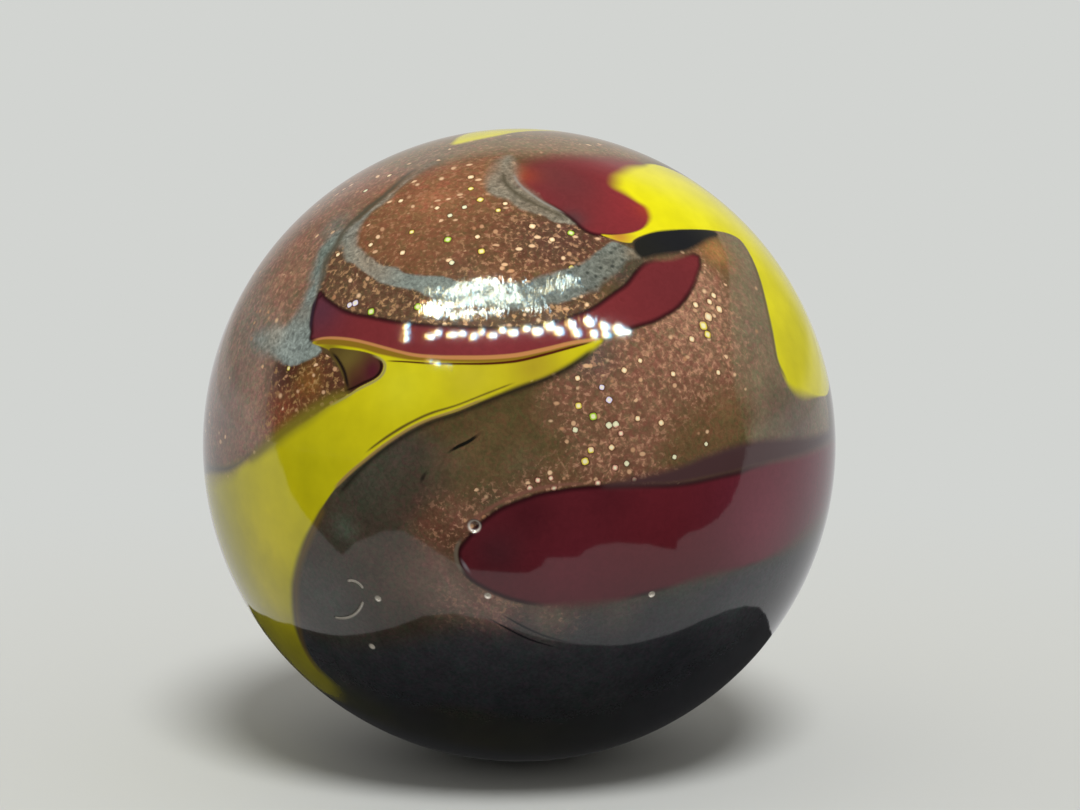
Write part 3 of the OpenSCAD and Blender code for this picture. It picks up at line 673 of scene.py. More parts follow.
def detail_distance(spots):
    """Distance in mm to the edge of the nearest mark or painted glint."""
    found = np.full(len(spots), np.inf)
    dots = [(BUBBLE_AT, BUBBLE_W)] + [(p, PINHOLE_W) for p in PINHOLES_AT]
    dots += [((lon, lat), width) for _, places in PAINTED_GLINTS for lon, lat, width in places]
    for place, width in dots:
        found = np.minimum(found, apart(spots, place) - width / 2)
    for bruise in BRUISES:
        d, _ = along_curve(spots, bruise_curve(*bruise), False)
        found = np.minimum(found, np.abs(d) - BRUISE_W / 2)
    return found


def tip_distance(spots):
    return np.min([apart(spots, place) for place in TIPS], 0)


# Finer faces where the marks, the painted glints and the sharp tips are, in turn: reach in mm
# round a mark or painted glint, and round a tip. The first turn also takes the rough grey glass
# and the sharp rims over the goldstone.
TURNS = [(0.2, 0.8), (0.08, 0.45), (0.035, 0)]
GREY_REACH, RIM_REACH = 0.15, 0.12
SHARP_RIMS = [OUTLINES["left_window"], THIN_FIELDS["painted_reflection_flank"]]
middles = face_middles(ball.data)
rough = np.max([field_depth(middles, OUTLINES[name]) for name in GREY_FIELDS], 0)
rims = np.min([np.abs(field_depth(middles, places)) for places in SHARP_RIMS], 0)
wanted = (rough > -GREY_REACH) | (rims < RIM_REACH)
for mark_reach, tip_reach in TURNS:
    wanted = wanted | (detail_distance(middles) < mark_reach)
    split_faces(ball, wanted | (tip_distance(middles) < tip_reach))
    middles = face_middles(ball.data)
    wanted = np.zeros(len(middles), bool)

spots = unit(points(ball.data))  # the direction of each point of the mesh
depth = {name: field_depth(spots, places) for name, places in (OUTLINES | THIN_FIELDS).items()}


# ---------------------------------------------------------------- what the mesh carries
def carry(name, numbers):
    """Keeps numbers for each point of the mesh, for the material to read: one to a point is
    a value, three are a vector and four a colour."""
    kind, key = {1: ("FLOAT", "value"), 3: ("FLOAT_VECTOR", "vector"),
                 4: ("FLOAT_COLOR", "color")}[numbers.size // len(spots)]
    made = ball.data.attributes.new(name, kind, "POINT")
    made.data.foreach_set(key, numbers.astype(np.float32).ravel())


def with_alpha(colours):
    return np.concatenate([colours, np.ones((len(colours), 1))], 1)


def paint(colours, colour, weight):
    return colours + (linear(colour) - colours) * weight[:, None]


def tinted(glass, colours):
    """The colours of a glass with its soft spots of tint."""
    for colour, place, radius, strength in TINTS[glass]:
        colours = paint(colours, colour, strength * spot_weight(spots, place, radius))
    return with_alpha(colours)


ground = np.tile(linear(OLIVE), (len(spots), 1))
flakes = np.zeros((len(spots), 3))
for name, colour, soft, flaked in GROUNDS:
    weight = soft_step(depth[name], -soft / 2, soft / 2)
    ground = paint(ground, colour, weight)
    flakes += (flaked - flakes) * weight[:, None]
for place, radius, full, bright in FLAKE_PATCHES:
    weight = spot_weight(spots, place, radius)[:, None]
    flakes[:, :2] += (np.array([full, bright]) - flakes[:, :2]) * weight
carry("ground_colour", tinted("ground", ground))
carry("flakes", flakes)

# Of each glass: depth in mm, half of its edge's width in mm, and how pitted it is
DEEPEST = 3  # mm past which a depth makes no difference
pitted = spot_weight(spots, PITTED_AT, PITTED_R)
for name, edge, fields in GLASSES:
    soft = np.full(len(spots), edge)
    for place, radius, width in SOFT_EDGES.get(name, []):
        soft += (width - soft) * spot_weight(spots, place, radius)
    deepest = np.max([depth[field] for field in fields], 0)
    carry(name, np.stack([deepest.clip(-DEEPEST, DEEPEST), soft / 2, pitted], 1))
    body = np.zeros((len(spots), 3))
    for field, colour in fields.items():
        body = paint(body, colour, (depth[field] == deepest).astype(float))
    carry(name + "_colour", tinted(name, body))

# Of each line: distance from its middle in mm, half of its width in mm, how far it shows
FADE = 0.3  # mm over which a line's ends fade
FARTHEST = 1  # mm from a line past which it never shows
for name, colour, soft, stops in LINES:
    curve = curve_through([stop[:2] for stop in stops], closed=False)
    across, along = along_curve(spots, curve, False)
    step = np.linalg.norm(np.diff(curve, axis=0), axis=1) * BALL_R
    stops_along = np.concatenate([[0], np.cumsum(step)])[::CURVE_STEPS]
    end = stops_along[-1]
    half = np.interp(along, stops_along, [stop[2] / 2 for stop in stops])
    shown = soft_step(along, 0, FADE) * soft_step(along, end, end - FADE)
    shown[np.abs(across) > FARTHEST] = 0
    carry(name, np.stack([across.clip(-FARTHEST, FARTHEST), half, shown], 1))


def facet_distance(spots, place):
    """Distance in mm from a place on the ball, counted so that a facet, which is a square
    with rounded corners turned its own way, has the same distance all round."""
    middle = direction(place)[0]
    east, north = compass(middle)
    turn = -37 * place[0] - 11 * place[1]  # any angle, another for each facet
    side = east * math.cos(turn) + north * math.sin(turn)
    other = north * math.cos(turn) - east * math.sin(turn)
    square = np.maximum(np.abs(spots @ side), np.abs(spots @ other)) * BALL_R
    return np.where(spots @ middle > 0, np.maximum(square, 0.9 * apart(spots, place)), np.inf)


# A painted glint rises from nothing at its width away from its middle, so that half of its
# width away it is about half as strong
painted_glint = np.zeros(len(spots))
painted_glint_colour = np.ones((len(spots), 3))
for colour, places in PAINTED_GLINTS:
    for lon, lat, width in places:
        d = facet_distance(spots, (lon, lat))
        painted_glint = np.maximum(painted_glint, soft_step(d, width, width * 0.15))
        painted_glint_colour[d < 2 * width] = linear(colour)
carry("painted_glint", painted_glint)
carry("painted_glint_colour", with_alpha(painted_glint_colour))

# How much the fire-polished skin ripples: a little all over, more over the grey glass, and
# most between it and the lens rims, where it never melted quite smooth
CALM, GREY_RIPPLE = 0.12, 0.5
ROUGHEST_AT, ROUGHEST_R, ROUGHEST_LOW_EDGE = (-1, 33), 2.6, 28  # a place, mm, a latitude
over_edge = math.sin(math.radians(ROUGHEST_LOW_EDGE)) - spots[:, 2]
rippled = CALM + (spot_weight(spots, ROUGHEST_AT, ROUGHEST_R)
                  * soft_step(over_edge, 0.01, -0.03))
grey_depth = np.max([depth[name] for name in GREY_FIELDS], 0)
carry("rippled", np.maximum(rippled, GREY_RIPPLE * soft_step(grey_depth, -0.1, 0.1)))


# ---------------------------------------------------------------- the marks
RIM_WIDTH, RIM_HEIGHT = 0.03, 0.08  # of a dish's rim: mm, and a share of the dish's depth


def dish_depth(d, width, dish):
    """Depth in mm of a round dish at a distance from its middle, with a faint rim."""
    inner = (d / (width / 2)).clip(0, 1)
    rim = np.exp(-(((d - width / 2) / RIM_WIDTH) ** 2))
    return np.where(d < width, dish * (1 - inner ** 2) - RIM_HEIGHT * dish * rim, 0)


# Crushed glass lies in the bruises; the pale in the pinholes and in a ring inside the bubble's
# edge is a painted highlight
RING_R, RING_WIDTH, RING_HIGHLIGHT = 0.135, 0.024, 0.8
d = apart(spots, BUBBLE_AT)
sunk = dish_depth(d, BUBBLE_W, BUBBLE_DEPTH)
crushed_and_highlight = RING_HIGHLIGHT * np.exp(-(((d - RING_R) / RING_WIDTH) ** 2))
for place in PINHOLES_AT:
    d = apart(spots, place)
    sunk += dish_depth(d, PINHOLE_W, PINHOLE_DEPTH)
    crushed_and_highlight = np.maximum(crushed_and_highlight, soft_step(d, 0.1, 0.06))
for bruise in BRUISES:
    d, _ = along_curve(spots, bruise_curve(*bruise), False)
    groove = 1 - (np.abs(d) / (BRUISE_W / 2)).clip(0, 1) ** 2
    sunk += BRUISE_DEPTH * groove
    crushed_and_highlight = np.maximum(crushed_and_highlight, groove)
carry("crushed_and_highlight", crushed_and_highlight)
move_points(ball.data, spots * ((BALL_R - sunk) * MM)[:, None])
bpy.ops.object.shade_smooth()

# ---------------------------------------------------------------- the UV map for baking
GUTTER = 0.012  # margin round each side of the cube, as a share of its cell


def lay_out_sides():
    """Gives each side of the starting cube its own cell of the OFBake map, three across
    and two up, with its faces nearly as even there as on the ball."""
    mesh = ball.data
    corner_point = np.empty(len(mesh.loops), int)
    mesh.loops.foreach_get("vertex_index", corner_point)
    corners = np.empty(len(mesh.polygons), int)
    mesh.polygons.foreach_get("loop_total", corners)
    face_of_corner = np.repeat(np.arange(len(mesh.polygons)), corners)
    middles = face_middles(mesh)
    major = np.abs(middles).argmax(1)
    sign = np.sign(middles[np.arange(len(middles)), major])
    co = spots[corner_point]
    axis, way = major[face_of_corner], sign[face_of_corner]
    rows = np.arange(len(co))
    forward = co[rows, axis] * way
    across = co[rows, (axis + 1) % 3] / forward * way
    up = co[rows, (axis + 2) % 3] / forward
    cell = np.stack([axis, (way < 0).astype(int)], 1)
    uv = np.arctan(np.stack([across, up], 1)) / (math.pi / 2) + 0.5
    uv = (uv * (1 - 2 * GUTTER) + GUTTER + cell) / np.array([3, 2])
    layer = mesh.uv_layers.new(name="OFBake")
    layer.data.foreach_set("uv", uv.astype(np.float32).ravel())


for layer in list(ball.data.uv_layers):
    ball.data.uv_layers.remove(layer)
lay_out_sides()


# ---------------------------------------------------------------- the glass
def add(tree, kind, inputs=None, **settings):
    """A shader node with its settings. Its inputs are values, outputs to link, or nodes
    whose first output is linked."""
    node = tree.nodes.new("ShaderNode" + kind)
    for name, value in settings.items():
        setattr(node, name, value)
    for key, value in (inputs or {}).items():
        if isinstance(value, bpy.types.Node):
            value = value.outputs[0]
        if isinstance(value, bpy.types.NodeSocket):
            tree.links.new(value, node.inputs[key])
        else:
            node.inputs[key].default_value = value
    return node


def lay(surface, mask, colour, rough=None, metal=None, gloss=None):
    """Lays a glass over what is there: the mask mixes in its colour and finish."""
    made = dict(surface)
    made["colour"] = add(tree, "Mix", {
        "Factor": mask, 6: surface["colour"], 7: colour}, data_type="RGBA").outputs[2]
    for key, value in (("rough", rough), ("metal", metal), ("gloss", gloss)):
        if value is not None:
            made[key] = add(tree, "Mix", {"Factor": mask, 2: surface[key], 3: value})
    return made


def carried(name):
    """The three values that the mesh carries under a name."""
    return add(tree, "SeparateXYZ", {
        0: add(tree, "Attribute", attribute_name=name).outputs["Vector"]}).outputs


def clouded(colour, cloud, amount):
    """A colour made lighter and darker by up to that share of itself."""
    level = add(tree, "MapRange", {
        "Value": cloud, "From Min": 0.28, "From Max": 0.72, "To Min": 1 - amount,
        "To Max": 1 + amount})
    return add(tree, "VectorMath", {0: colour, 3: level}, operation="SCALE")


# Opaque soda-lime glass, hot-worked and fire-polished: a smooth clear gloss over body
# colours, with copper crystals (goldstone) that glint and grey glass that stays matt.
glass = bpy.data.materials.new("fire_polished_swirl_glass")
glass.use_nodes = True
tree = glass.node_tree
tree.nodes.clear()

object_place = add(tree, "TexCoord").outputs["Object"]
place_mm = add(tree, "VectorMath", {0: object_place, 3: 1 / MM}, operation="SCALE")
# Noise with lumps of about 0.3, 0.12 and 0.05 mm; the last two are drawn out in streaks
slow = add(tree, "TexNoise", {
    "Vector": place_mm, "Scale": 1.6, "Detail": 2.0, "Roughness": 0.5})
streaks = add(tree, "TexNoise", {
    "Vector": place_mm, "Scale": 4.2, "Detail": 2.0, "Roughness": 0.5,
    "Distortion": 1.6})
grain = add(tree, "TexNoise", {
    "Vector": place_mm, "Scale": 10.0, "Detail": 2.0, "Roughness": 0.6,
    "Distortion": 0.6})

# The ground: brown, olive and nearly black glass, faintly clouded, whose hue wanders a
# little from green to red along the streaks
ground_colour = add(tree, "Attribute", attribute_name="ground_colour")
wander = add(tree, "Mix", {
    "Factor": streaks, 6: (0.6, 1.16, 0.9, 1), 7: (1.4, 0.86, 1.1, 1)},
    data_type="RGBA").outputs[2]
wander = add(tree, "VectorMath", {0: ground_colour.outputs["Color"], 1: wander},
             operation="MULTIPLY")
surface = {"colour": clouded(clouded(wander, slow, 0.14), grain, 0.2),
           "rough": 0.4, "metal": 0.0, "gloss": 1.0}

# Goldstone: packed with curled strokes of crystals about 0.07 mm wide, dark between them
full, bright, golden = carried("flakes")
stroke_colour = add(tree, "Mix", {
    "Factor": streaks, 6: rgba("#bd7c58"), 7: rgba("#ddb196")}, data_type="RGBA").outputs[2]
stroke_colour = add(tree, "Mix", {
    "Factor": golden, 6: stroke_colour, 7: rgba("#b8925c")}, data_type="RGBA").outputs[2]
crystals = add(tree, "TexNoise", {
    "Vector": place_mm, "Scale": 7.8, "Detail": 2.0, "Roughness": 0.6,
    "Distortion": 0.4})
dark = add(tree, "MapRange", {
    "Value": crystals, "From Min": 0.55, "From Max": 0.38, "To Max": 0.72},
    interpolation_type="SMOOTHSTEP")
dark = add(tree, "Math", {0: dark, 1: full}, operation="MULTIPLY")
darker = add(tree, "Mix", {
    "Factor": 0.6, 6: surface["colour"], 7: rgba("#4a2a1c")}, data_type="RGBA").outputs[2]
surface = lay(surface, dark, darker)
lit = add(tree, "MapRange", {
    "Value": crystals, "From Min": 0.53, "From Max": 0.66, "To Max": 0.8},
    interpolation_type="SMOOTHSTEP")
lit = add(tree, "Math", {0: lit, 1: full}, operation="MULTIPLY")
surface = lay(surface, lit, clouded(stroke_colour, grain, 0.2), 0.35, 0.1)

# Crystals that stand out singly: 0.08 to 0.12 mm across, drawn in layers that lie each its
# own way, so that some show long and some round. Their copper is their own colour, and the
# pale cream of the brightest is painted glint
FLAKE_LAYERS = [
    # cell in mm, stretch, turn in degrees, reach of a flake in its cell, share present
    (0.19, (1.0, 1.7, 1.0), (20, 35, 10), 0.4, 0.22),
    (0.17, (1.6, 1.0, 1.0), (65, 10, 50), 0.4, 0.2),
    (0.36, (1.0, 1.3, 1.0), (35, 70, 20), 0.26, 0.4),
]
FLAKE_FADE = 0.2  # how much of a flake's reach is its soft edge
for cell, stretch, turn, reach, share in FLAKE_LAYERS:
    turned = add(tree, "Mapping", {
        "Vector": place_mm, "Rotation": [math.radians(a) for a in turn],
        "Scale": [1 / cell / s for s in stretch]}, vector_type="POINT")
    cells = add(tree, "TexVoronoi", {"Vector": turned, "Scale": 1.0})
    chance = add(tree, "SeparateColor", {0: cells.outputs["Color"]}).outputs
    shape = add(tree, "MapRange", {
        "Value": cells.outputs["Distance"], "From Min": reach,
        "From Max": reach - FLAKE_FADE}, interpolation_type="SMOOTHSTEP")
    level = add(tree, "Math", {0: bright, 1: share}, operation="MULTIPLY")
    here = add(tree, "Math", {0: chance[0], 1: level}, operation="LESS_THAN")
    mask = add(tree, "Math", {0: shape, 1: here}, operation="MULTIPLY")
    copper_and_glint = add(tree, "Mix", {
        "Factor": chance[1], 6: rgba("#b5805c"), 7: rgba("#fbd2a6")},
        data_type="RGBA").outputs[2]
    surface = lay(surface, mask, copper_and_glint, 0.35, 0.1)
# Painted glints of the brightest flakes, each placed: a painted dark surround, a coloured edge
# and a cream middle
painted_glint = add(tree, "Attribute", attribute_name="painted_glint").outputs["Fac"]
painted_glint_colour = add(tree, "Attribute", attribute_name="painted_glint_colour").outputs["Color"]
for begins, ends, most, colour in [(0.02, 0.3, 0.6, rgba("#3c2418")),
                                   (0.4, 0.55, 1.0, painted_glint_colour),
                                   (0.7, 0.95, 0.85, rgba("#fff8d0"))]:
    mask = add(tree, "MapRange", {
        "Value": painted_glint, "From Min": begins, "From Max": ends, "To Max": most})
    surface = lay(surface, mask, colour)

# The glasses folded over the ground, each with its edge as sharp or soft as it lies there:
# noise, its strength on the colour, wavering of the edge in mm, and the finish, which is how
# rough, how metallic and how glossy it is
HOLE_CELL = 0.2  # mm from one hole in the grey glass to the next
FINISH = {
    "grey": (streaks, 0.34, 0.09, (0.6, 0.0, 0.55)),
    "oxblood": (streaks, 0.07, 0.0, (0.35, 0.0, 1.0)),
    "coal": (grain, 0.05, 0.0, (0.35, 0.0, 1.0)),
    "lemon": (slow, 0.06, 0.0, (0.35, 0.0, 1.0)),
    "small_lens": (slow, 0.1, 0.0, (0.35, 0.0, 1.0)),
}
for name, *_ in GLASSES:
    noise, amount, waver, finish = FINISH[name]
    deep, half_edge, pitted = carried(name)
    if waver:
        moved = add(tree, "MapRange", {
            "Value": slow, "To Min": -2 * waver, "To Max": 2 * waver})
        deep = add(tree, "Math", {0: deep, 1: moved})
    outer = add(tree, "Math", {0: half_edge, 1: -1.0}, operation="MULTIPLY")
    mask = add(tree, "MapRange", {
        "Value": deep, "From Min": outer, "From Max": half_edge},
        interpolation_type="SMOOTHSTEP")
    body = add(tree, "Attribute", attribute_name=name + "_colour").outputs["Color"]
    body = clouded(body, noise, amount)
    if name == "grey":
        body = clouded(body, grain, 0.3)
        # Dark spots where the grey glass is pitted: painted shade in the pits
        holes = add(tree, "TexVoronoi", {
            "Vector": place_mm, "Scale": 1 / HOLE_CELL}).outputs["Distance"]
        pit_shade = add(tree, "MapRange", {"Value": holes, "From Min": 0.36, "From Max": 0.16})
        pit_shade = add(tree, "Math", {0: pit_shade, 1: pitted}, operation="MULTIPLY")
        body = add(tree, "Mix", {
            "Factor": pit_shade, 6: body, 7: rgba("#3c403b")}, data_type="RGBA").outputs[2]
    surface = lay(surface, mask, body, *finish)
    if name == "oxblood":
        # Its rim is darker than its body, where its edge is sharp
        rim = add(tree, "MapRange", {
            "Value": deep, "From Min": 0.13, "From Max": 0.0, "To Max": 0.85},
            interpolation_type="SMOOTHSTEP")
        rim_out = add(tree, "MapRange", {
            "Value": deep, "From Min": -0.08, "From Max": -0.01},
            interpolation_type="SMOOTHSTEP")
        sharp = add(tree, "MapRange", {"Value": half_edge, "From Min": 0.12, "From Max": 0.04})
        rim = add(tree, "Math", {0: rim, 1: rim_out}, operation="MULTIPLY")
        rim = add(tree, "Math", {0: rim, 1: sharp}, operation="MULTIPLY")
        surface = lay(surface, rim, rgba("#290d12"))

# Threads and thin lines
for name, colour, soft, stops in LINES:
    across, half, shown = carried(name)
    away = add(tree, "Math", {0: across}, operation="ABSOLUTE")
    outer = add(tree, "Math", {0: half, 1: soft})
    inner = add(tree, "Math", {0: half, 1: soft}, operation="SUBTRACT")
    mask = add(tree, "MapRange", {
        "Value": away, "From Min": outer, "From Max": inner, "To Max": shown},
        interpolation_type="SMOOTHSTEP")
    surface = lay(surface, mask, rgba(colour))

# Crushed glass in the bruises shows pale and dull; the pinholes and the bubble's ring get the
# same pale as a painted highlight
crushed_and_highlight = add(tree, "Attribute", attribute_name="crushed_and_highlight").outputs["Fac"]
surface = lay(surface, crushed_and_highlight, rgba("#efe8dc"), 0.6, 0.0, 0.3)

# Ripples, longer upwards than across
RIPPLE_HEIGHT = 0.012  # mm
upright = add(tree, "VectorMath", {0: place_mm, 1: (1.7, 0.6, 0.6)}, operation="MULTIPLY")
ripple_height = add(tree, "TexNoise", {
    "Vector": upright, "Scale": 2.6, "Detail": 3.0, "Roughness": 0.5})
rippled = add(tree, "Attribute", attribute_name="rippled").outputs["Fac"]
ripple = add(tree, "Bump", {
    "Strength": rippled,
    "Distance": RIPPLE_HEIGHT * MM, "Height": ripple_height})
shader = add(tree, "BsdfPrincipled", {
    "Base Color": surface["colour"], "Roughness": surface["rough"],
    "Metallic": surface["metal"], "IOR": 1.5, "Specular IOR Level": 0.0,
    "Coat Weight": surface["gloss"], "Coat Roughness": 0.07, "Coat IOR": 1.5,
    "Normal": ripple, "Coat Normal": ripple})
add(tree, "OutputMaterial", {0: shader})
ball.data.materials.append(glass)

# ---------------------------------------------------------------- the camera
CAMERA_AT = Vector((0.554, -70.594, 9.619)) * MM
CAMERA_DOWN = 6.9  # degrees that it looks down
camera_data = bpy.data.cameras.new("camera")
camera_data.lens, camera_data.sensor_width = 87.8, 36
camera_data.clip_start, camera_data.clip_end = 1 * MM, 20
camera = bpy.data.objects.new("camera", camera_data)
camera.location = CAMERA_AT
camera.rotation_euler = (math.radians(90 - CAMERA_DOWN), 0, 0)
bpy.context.scene.collection.objects.link(camera)
bpy.context.scene.camera = camera

# ---------------------------------------------------------------- the light
PALE = "#d2d4d1"  # the backdrop and the table
KEY_FROM, KEY_RADIANCE, KEY_WIDTH = (12, 57), 0.72, 20  # a place, a level, degrees

key_data = bpy.data.lights.new("soft_key", "SUN")
key_data.energy, key_data.angle = KEY_RADIANCE * math.pi, math.radians(KEY_WIDTH)
soft_key = bpy.data.objects.new("soft_key", key_data)
soft_key.rotation_euler = Vector(direction([KEY_FROM])[0]).to_track_quat("Z", "Y").to_euler()
soft_key.visible_glossy = False
bpy.context.scene.collection.objects.link(soft_key)

# Small lamps, each where the ball mirrors it to the camera: (longitude, latitude, width and
# height of its reflection in mm)
LAMPS = [
    (-15.3, 21.1, 0.1, 0.07), (-14, 20.7, 0.17, 0.1), (-12.1, 20.4, 0.09, 0.06),
    (-20.8, 26.9, 0.15, 0.16), (-20.5, 25.8, 0.15, 0.16), (-20.3, 24.8, 0.15, 0.16),
    (-15.8, 25.3, 0.26, 0.16), (-14.5, 26, 0.22, 0.18), (-11.7, 25.7, 0.26, 0.17),
    (-9.9, 25.9, 0.23, 0.2), (-7.8, 25.5, 0.16, 0.23), (-6.4, 26.2, 0.16, 0.22),
    (-4.4, 25.7, 0.25, 0.17), (-2.6, 26.6, 0.22, 0.2), (-0.6, 26.2, 0.26, 0.22),
    (1.7, 26.8, 0.21, 0.2), (3.7, 26.4, 0.29, 0.25), (6, 27.3, 0.26, 0.29),
    (7.6, 26.4, 0.21, 0.29), (10, 27.6, 0.25, 0.31), (10.8, 26.1, 0.23, 0.29),
    (13.3, 28, 0.26, 0.31), (14, 25.8, 0.21, 0.29), (16.2, 27.1, 0.26, 0.29),
    (16.3, 25.6, 0.23, 0.21), (18.8, 26.4, 0.36, 0.34), (20.4, 26, 0.23, 0.13),
    (-16.8, 33.4, 0.21, 0.15), (-16.6, 30.3, 0.33, 0.51), (-14.8, 29.5, 0.3, 0.3),
    (-13.6, 33.2, 0.3, 0.3), (-13, 31, 0.3, 0.39), (-11.8, 29, 0.24, 0.21),
    (-10.8, 33.8, 0.33, 0.36), (-10, 31.4, 0.27, 0.39), (-9.4, 29.2, 0.3, 0.24),
    (-8.2, 34.8, 0.39, 0.3), (-7.4, 32.4, 0.33, 0.36), (-6.8, 29.4, 0.27, 0.24),
    (-5, 35.2, 0.36, 0.39), (-4.2, 32.6, 0.36, 0.51), (-3.6, 30, 0.3, 0.33),
    (-2.2, 34, 0.3, 0.36), (-0.8, 32.2, 0.33, 0.3), (0.4, 34.4, 0.21, 0.18),
    (1.8, 32.6, 0.18, 0.21), (2.4, 31.4, 0.3, 0.12), (3.4, 30.2, 0.3, 0.15),
    (5.6, 33.6, 0.27, 0.15), (8.2, 34.8, 0.3, 0.21), (10.2, 36, 0.33, 0.24),
    (12, 34.6, 0.18, 0.12),
]
LAMP_AWAY, LAMP_RADIANCE = 0.45, 45  # metres from the ball, a level
# Size of a lamp to the size of its reflection: a ball's mirror image shrinks with distance,
# and the gloss blurs its edge away
LAMP_SPREAD = 1.7
LAMP_SCALE = LAMP_SPREAD * (LAMP_AWAY + BALL_R * MM / 2) / (BALL_R * MM)
# Each is a warm and a cool one side by side, that many degrees to the left or right: white
# where their reflections overlap, with coloured edges
LAMP_SIDES = [("warm", -0.17, "#ffd648"), ("cool", 0.17, "#5cc8ff")]
for i, (lon, lat, width, height) in enumerate(LAMPS):
    for side, shift, colour in LAMP_SIDES:
        normal = Vector(direction([(lon + shift, lat)])[0])
        spot = normal * BALL_R * MM
        away = (spot - CAMERA_AT).normalized().reflect(normal)
        lamp_data = bpy.data.lights.new(f"{side}_lamp_{i}", "AREA")
        lamp_data.color = linear(colour)
        lamp_data.shape = "ELLIPSE"
        lamp_data.size = width * MM * LAMP_SCALE
        lamp_data.size_y = height * MM * LAMP_SCALE
        lamp_data.energy = (LAMP_RADIANCE * math.pi * lamp_data.size * lamp_data.size_y
                            * math.pi / 4)
        lamp = bpy.data.objects.new(f"{side}_lamp_{i}", lamp_data)
        lamp.location = spot + away * LAMP_AWAY
        lamp.rotation_euler = away.to_track_quat("Z", "Y").to_euler()
        lamp.visible_diffuse = False
        bpy.context.scene.collection.objects.link(lamp)

# The room: dark in front of the ball, pale behind it, parted by a border that bends back
# overhead and slants a little
BORDER_BEND, BORDER_SLANT = -0.88, 0.06
ROOM_PALE, ROOM_PALEST, ROOM_DARK = 0.17, 0.56, 0.05  # levels that the gloss mirrors
ROOM_LIGHT = 0.46  # level of the light on what is matt
world = bpy.data.worlds.new("pale_room")
bpy.context.scene.world = world
world.use_nodes = True
sky = world.node_tree
sky.nodes.clear()
x, y, z = add(sky, "SeparateXYZ", {0: add(sky, "TexCoord").outputs["Generated"]}).outputs
bend = add(sky, "Math", {0: z, 1: z}, operation="MULTIPLY")
past = add(sky, "Math", {0: bend, 1: BORDER_BEND, 2: y}, operation="MULTIPLY_ADD")
past = add(sky, "Math", {0: x, 1: BORDER_SLANT, 2: past}, operation="MULTIPLY_ADD")
# Behind the ball it is brightest straight back and near the ground
back = add(sky, "Math", {0: y, 1: 0.001}, operation="MAXIMUM")
slant = add(sky, "Math", {0: x, 1: back}, operation="DIVIDE")
slant = add(sky, "Math", {0: slant}, operation="ABSOLUTE")
straight = add(sky, "MapRange", {
    "Value": slant, "From Min": 0.75, "From Max": 0.3}, interpolation_type="SMOOTHSTEP")
low_down = add(sky, "MapRange", {
    "Value": z, "From Min": 0.12, "From Max": 0.03}, interpolation_type="SMOOTHSTEP")
pale = add(sky, "Math", {0: straight, 1: low_down}, operation="MAXIMUM")
pale = add(sky, "MapRange", {"Value": pale, "To Min": ROOM_PALE, "To Max": ROOM_PALEST})
level = add(sky, "MapRange", {
    "Value": past, "From Min": 0.04,
    "From Max": add(sky, "Math", {0: bend, 1: 1.0, 2: 0.1}, operation="MULTIPLY_ADD"),
    "To Min": ROOM_DARK, "To Max": pale})
room_rays = add(sky, "LightPath").outputs
level = add(sky, "Mix", {"Factor": room_rays["Is Diffuse Ray"], 2: level, 3: ROOM_LIGHT})
room = add(sky, "Background", {0: (1.0, 0.97, 0.92, 1), 1: level})
backdrop = add(sky, "Background", {0: rgba(PALE), 1: 1.0})
add(sky, "OutputWorld", {0: add(sky, "MixShader", {
    0: room_rays["Is Camera Ray"], 1: room, 2: backdrop})})

# ---------------------------------------------------------------- the table
FLOOR_LEVEL = 0.66  # how bright the ball mirrors the table
FADE_FROM, FADE_TO = 0.015, 0.05  # metres from the ball where the table turns to backdrop

bpy.ops.mesh.primitive_plane_add(size=4, location=(0, 0, low.z))
table = bpy.context.object
table.name = "pale_table"
top = bpy.data.materials.new("pale_matt_card")
top.use_nodes = True
card = top.node_tree
card.nodes.clear()
rays = add(card, "LightPath").outputs
spot = add(card, "TexCoord").outputs["Object"]
from_ball = add(card, "VectorMath", {0: spot}, operation="LENGTH").outputs["Value"]
card_colour = add(card, "Mix", {
    "Factor": rays["Is Diffuse Ray"], 6: rgba("#cccecb"), 7: rgba("#7a7a78")},
    data_type="RGBA").outputs[2]
matt = add(card, "BsdfDiffuse", {0: card_colour})
plain = add(card, "Emission", {0: rgba(PALE), 1: 1.0})
mirrored = add(card, "Emission", {0: (1, 1, 1, 1), 1: FLOOR_LEVEL})
fade = add(card, "MapRange", {
    "Value": from_ball, "From Min": FADE_FROM, "From Max": FADE_TO, "To Min": 0.0,
    "To Max": 1.0},
    interpolation_type="SMOOTHSTEP")
fade_seen = add(card, "Math", {0: fade, 1: rays["Is Camera Ray"]}, operation="MULTIPLY")
seen = add(card, "MixShader", {0: fade_seen, 1: matt, 2: plain})
add(card, "OutputMaterial", {0: add(card, "MixShader", {
    0: rays["Is Glossy Ray"], 1: seen, 2: mirrored})})
table.data.materials.append(top)

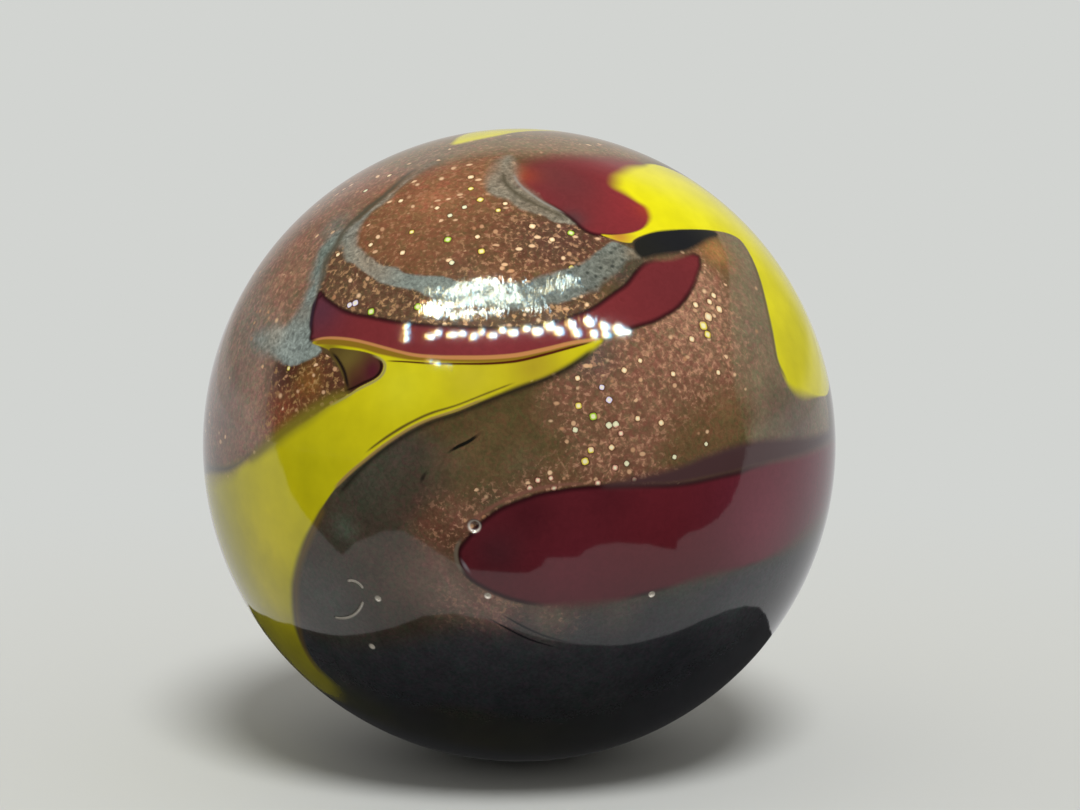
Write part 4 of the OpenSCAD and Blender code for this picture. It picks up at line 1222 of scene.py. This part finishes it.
# Black cards on the table, which only the ball's gloss mirrors: one close under the ball,
# and one where the pale table ends towards the camera. Their corners are in mm.
CARDS = {
    "near_card": [
        (-11.8, 11.3), (-11.7, 3.9), (-10.8, -0.7), (-9.6, -3.1), (-8.4, -5.1), (-7.4, -6.9),
        (-6.5, -8.4), (-5.4, -10.3), (-3.8, -11.3), (-1.9, -11.3), (-0.5, -10.8), (0.8, -10.1),
        (2.2, -9.4), (3.6, -8.7), (5, -7.9), (6.5, -7.2), (7.9, -6.4), (9.6, -5.4),
        (11.2, -3.8), (12.1, -1.9), (12.3, 0.2), (11.6, 2.3), (10.3, 5.4), (9, 11), (-9, 14),
    ],
    "front_card": [
        (-1500, 128), (-480, 41), (-143, 3), (-90, -3.6), (-61, -6.2), (-47.5, -7.4),
        (-38.6, -8.3), (-33.3, -9), (-26.8, -10), (-22, -10.5), (-15.7, -10.9),
        (-17.1, -14), (-17, -19.8), (-15, -21.5), (-10, -19.7), (-7, -18), (-4.2, -16.7),
        (0.9, -16.7), (2.1, -17.6), (2.8, -19.1), (5.8, -18.5), (7.1, -19.6), (8.8, -20.2),
        (11.2, -19.6), (13.8, -17), (15.2, -13.4), (16.2, -14), (17.3, -14.6), (19.9, -14.6),
        (22, -13.3), (27.4, -12), (36.7, -11.3), (54.3, -11.7), (584, -34),
        (1500, -84), (1500, -1500), (-1500, -1500),
    ],
}
CARD_LIFT, CARD_LEVEL = 0.05, 0.03  # mm over the table, how bright the ball mirrors them
black = bpy.data.materials.new("black_card")
black.use_nodes = True
black.node_tree.nodes.clear()
add(black.node_tree, "OutputMaterial", {0: add(
    black.node_tree, "Emission", {0: (1, 1, 1, 1), 1: CARD_LEVEL})})
for name, corners in CARDS.items():
    bpy.ops.object.select_all(action="DESELECT")
    bpy.ops.mesh.primitive_circle_add(vertices=len(corners), fill_type="NGON")
    made = bpy.context.object
    made.name = name
    move_points(made.data, np.array([
        (x * MM, y * MM, low.z + CARD_LIFT * MM) for x, y in corners]))
    made.visible_camera = made.visible_shadow = False
    made.visible_transmission = made.visible_diffuse = False
    made.data.materials.append(black)

# ---------------------------------------------------------------- hand over
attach(ball, "root")
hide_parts("marble")
bpy.context.scene.view_settings.view_transform = "Standard"
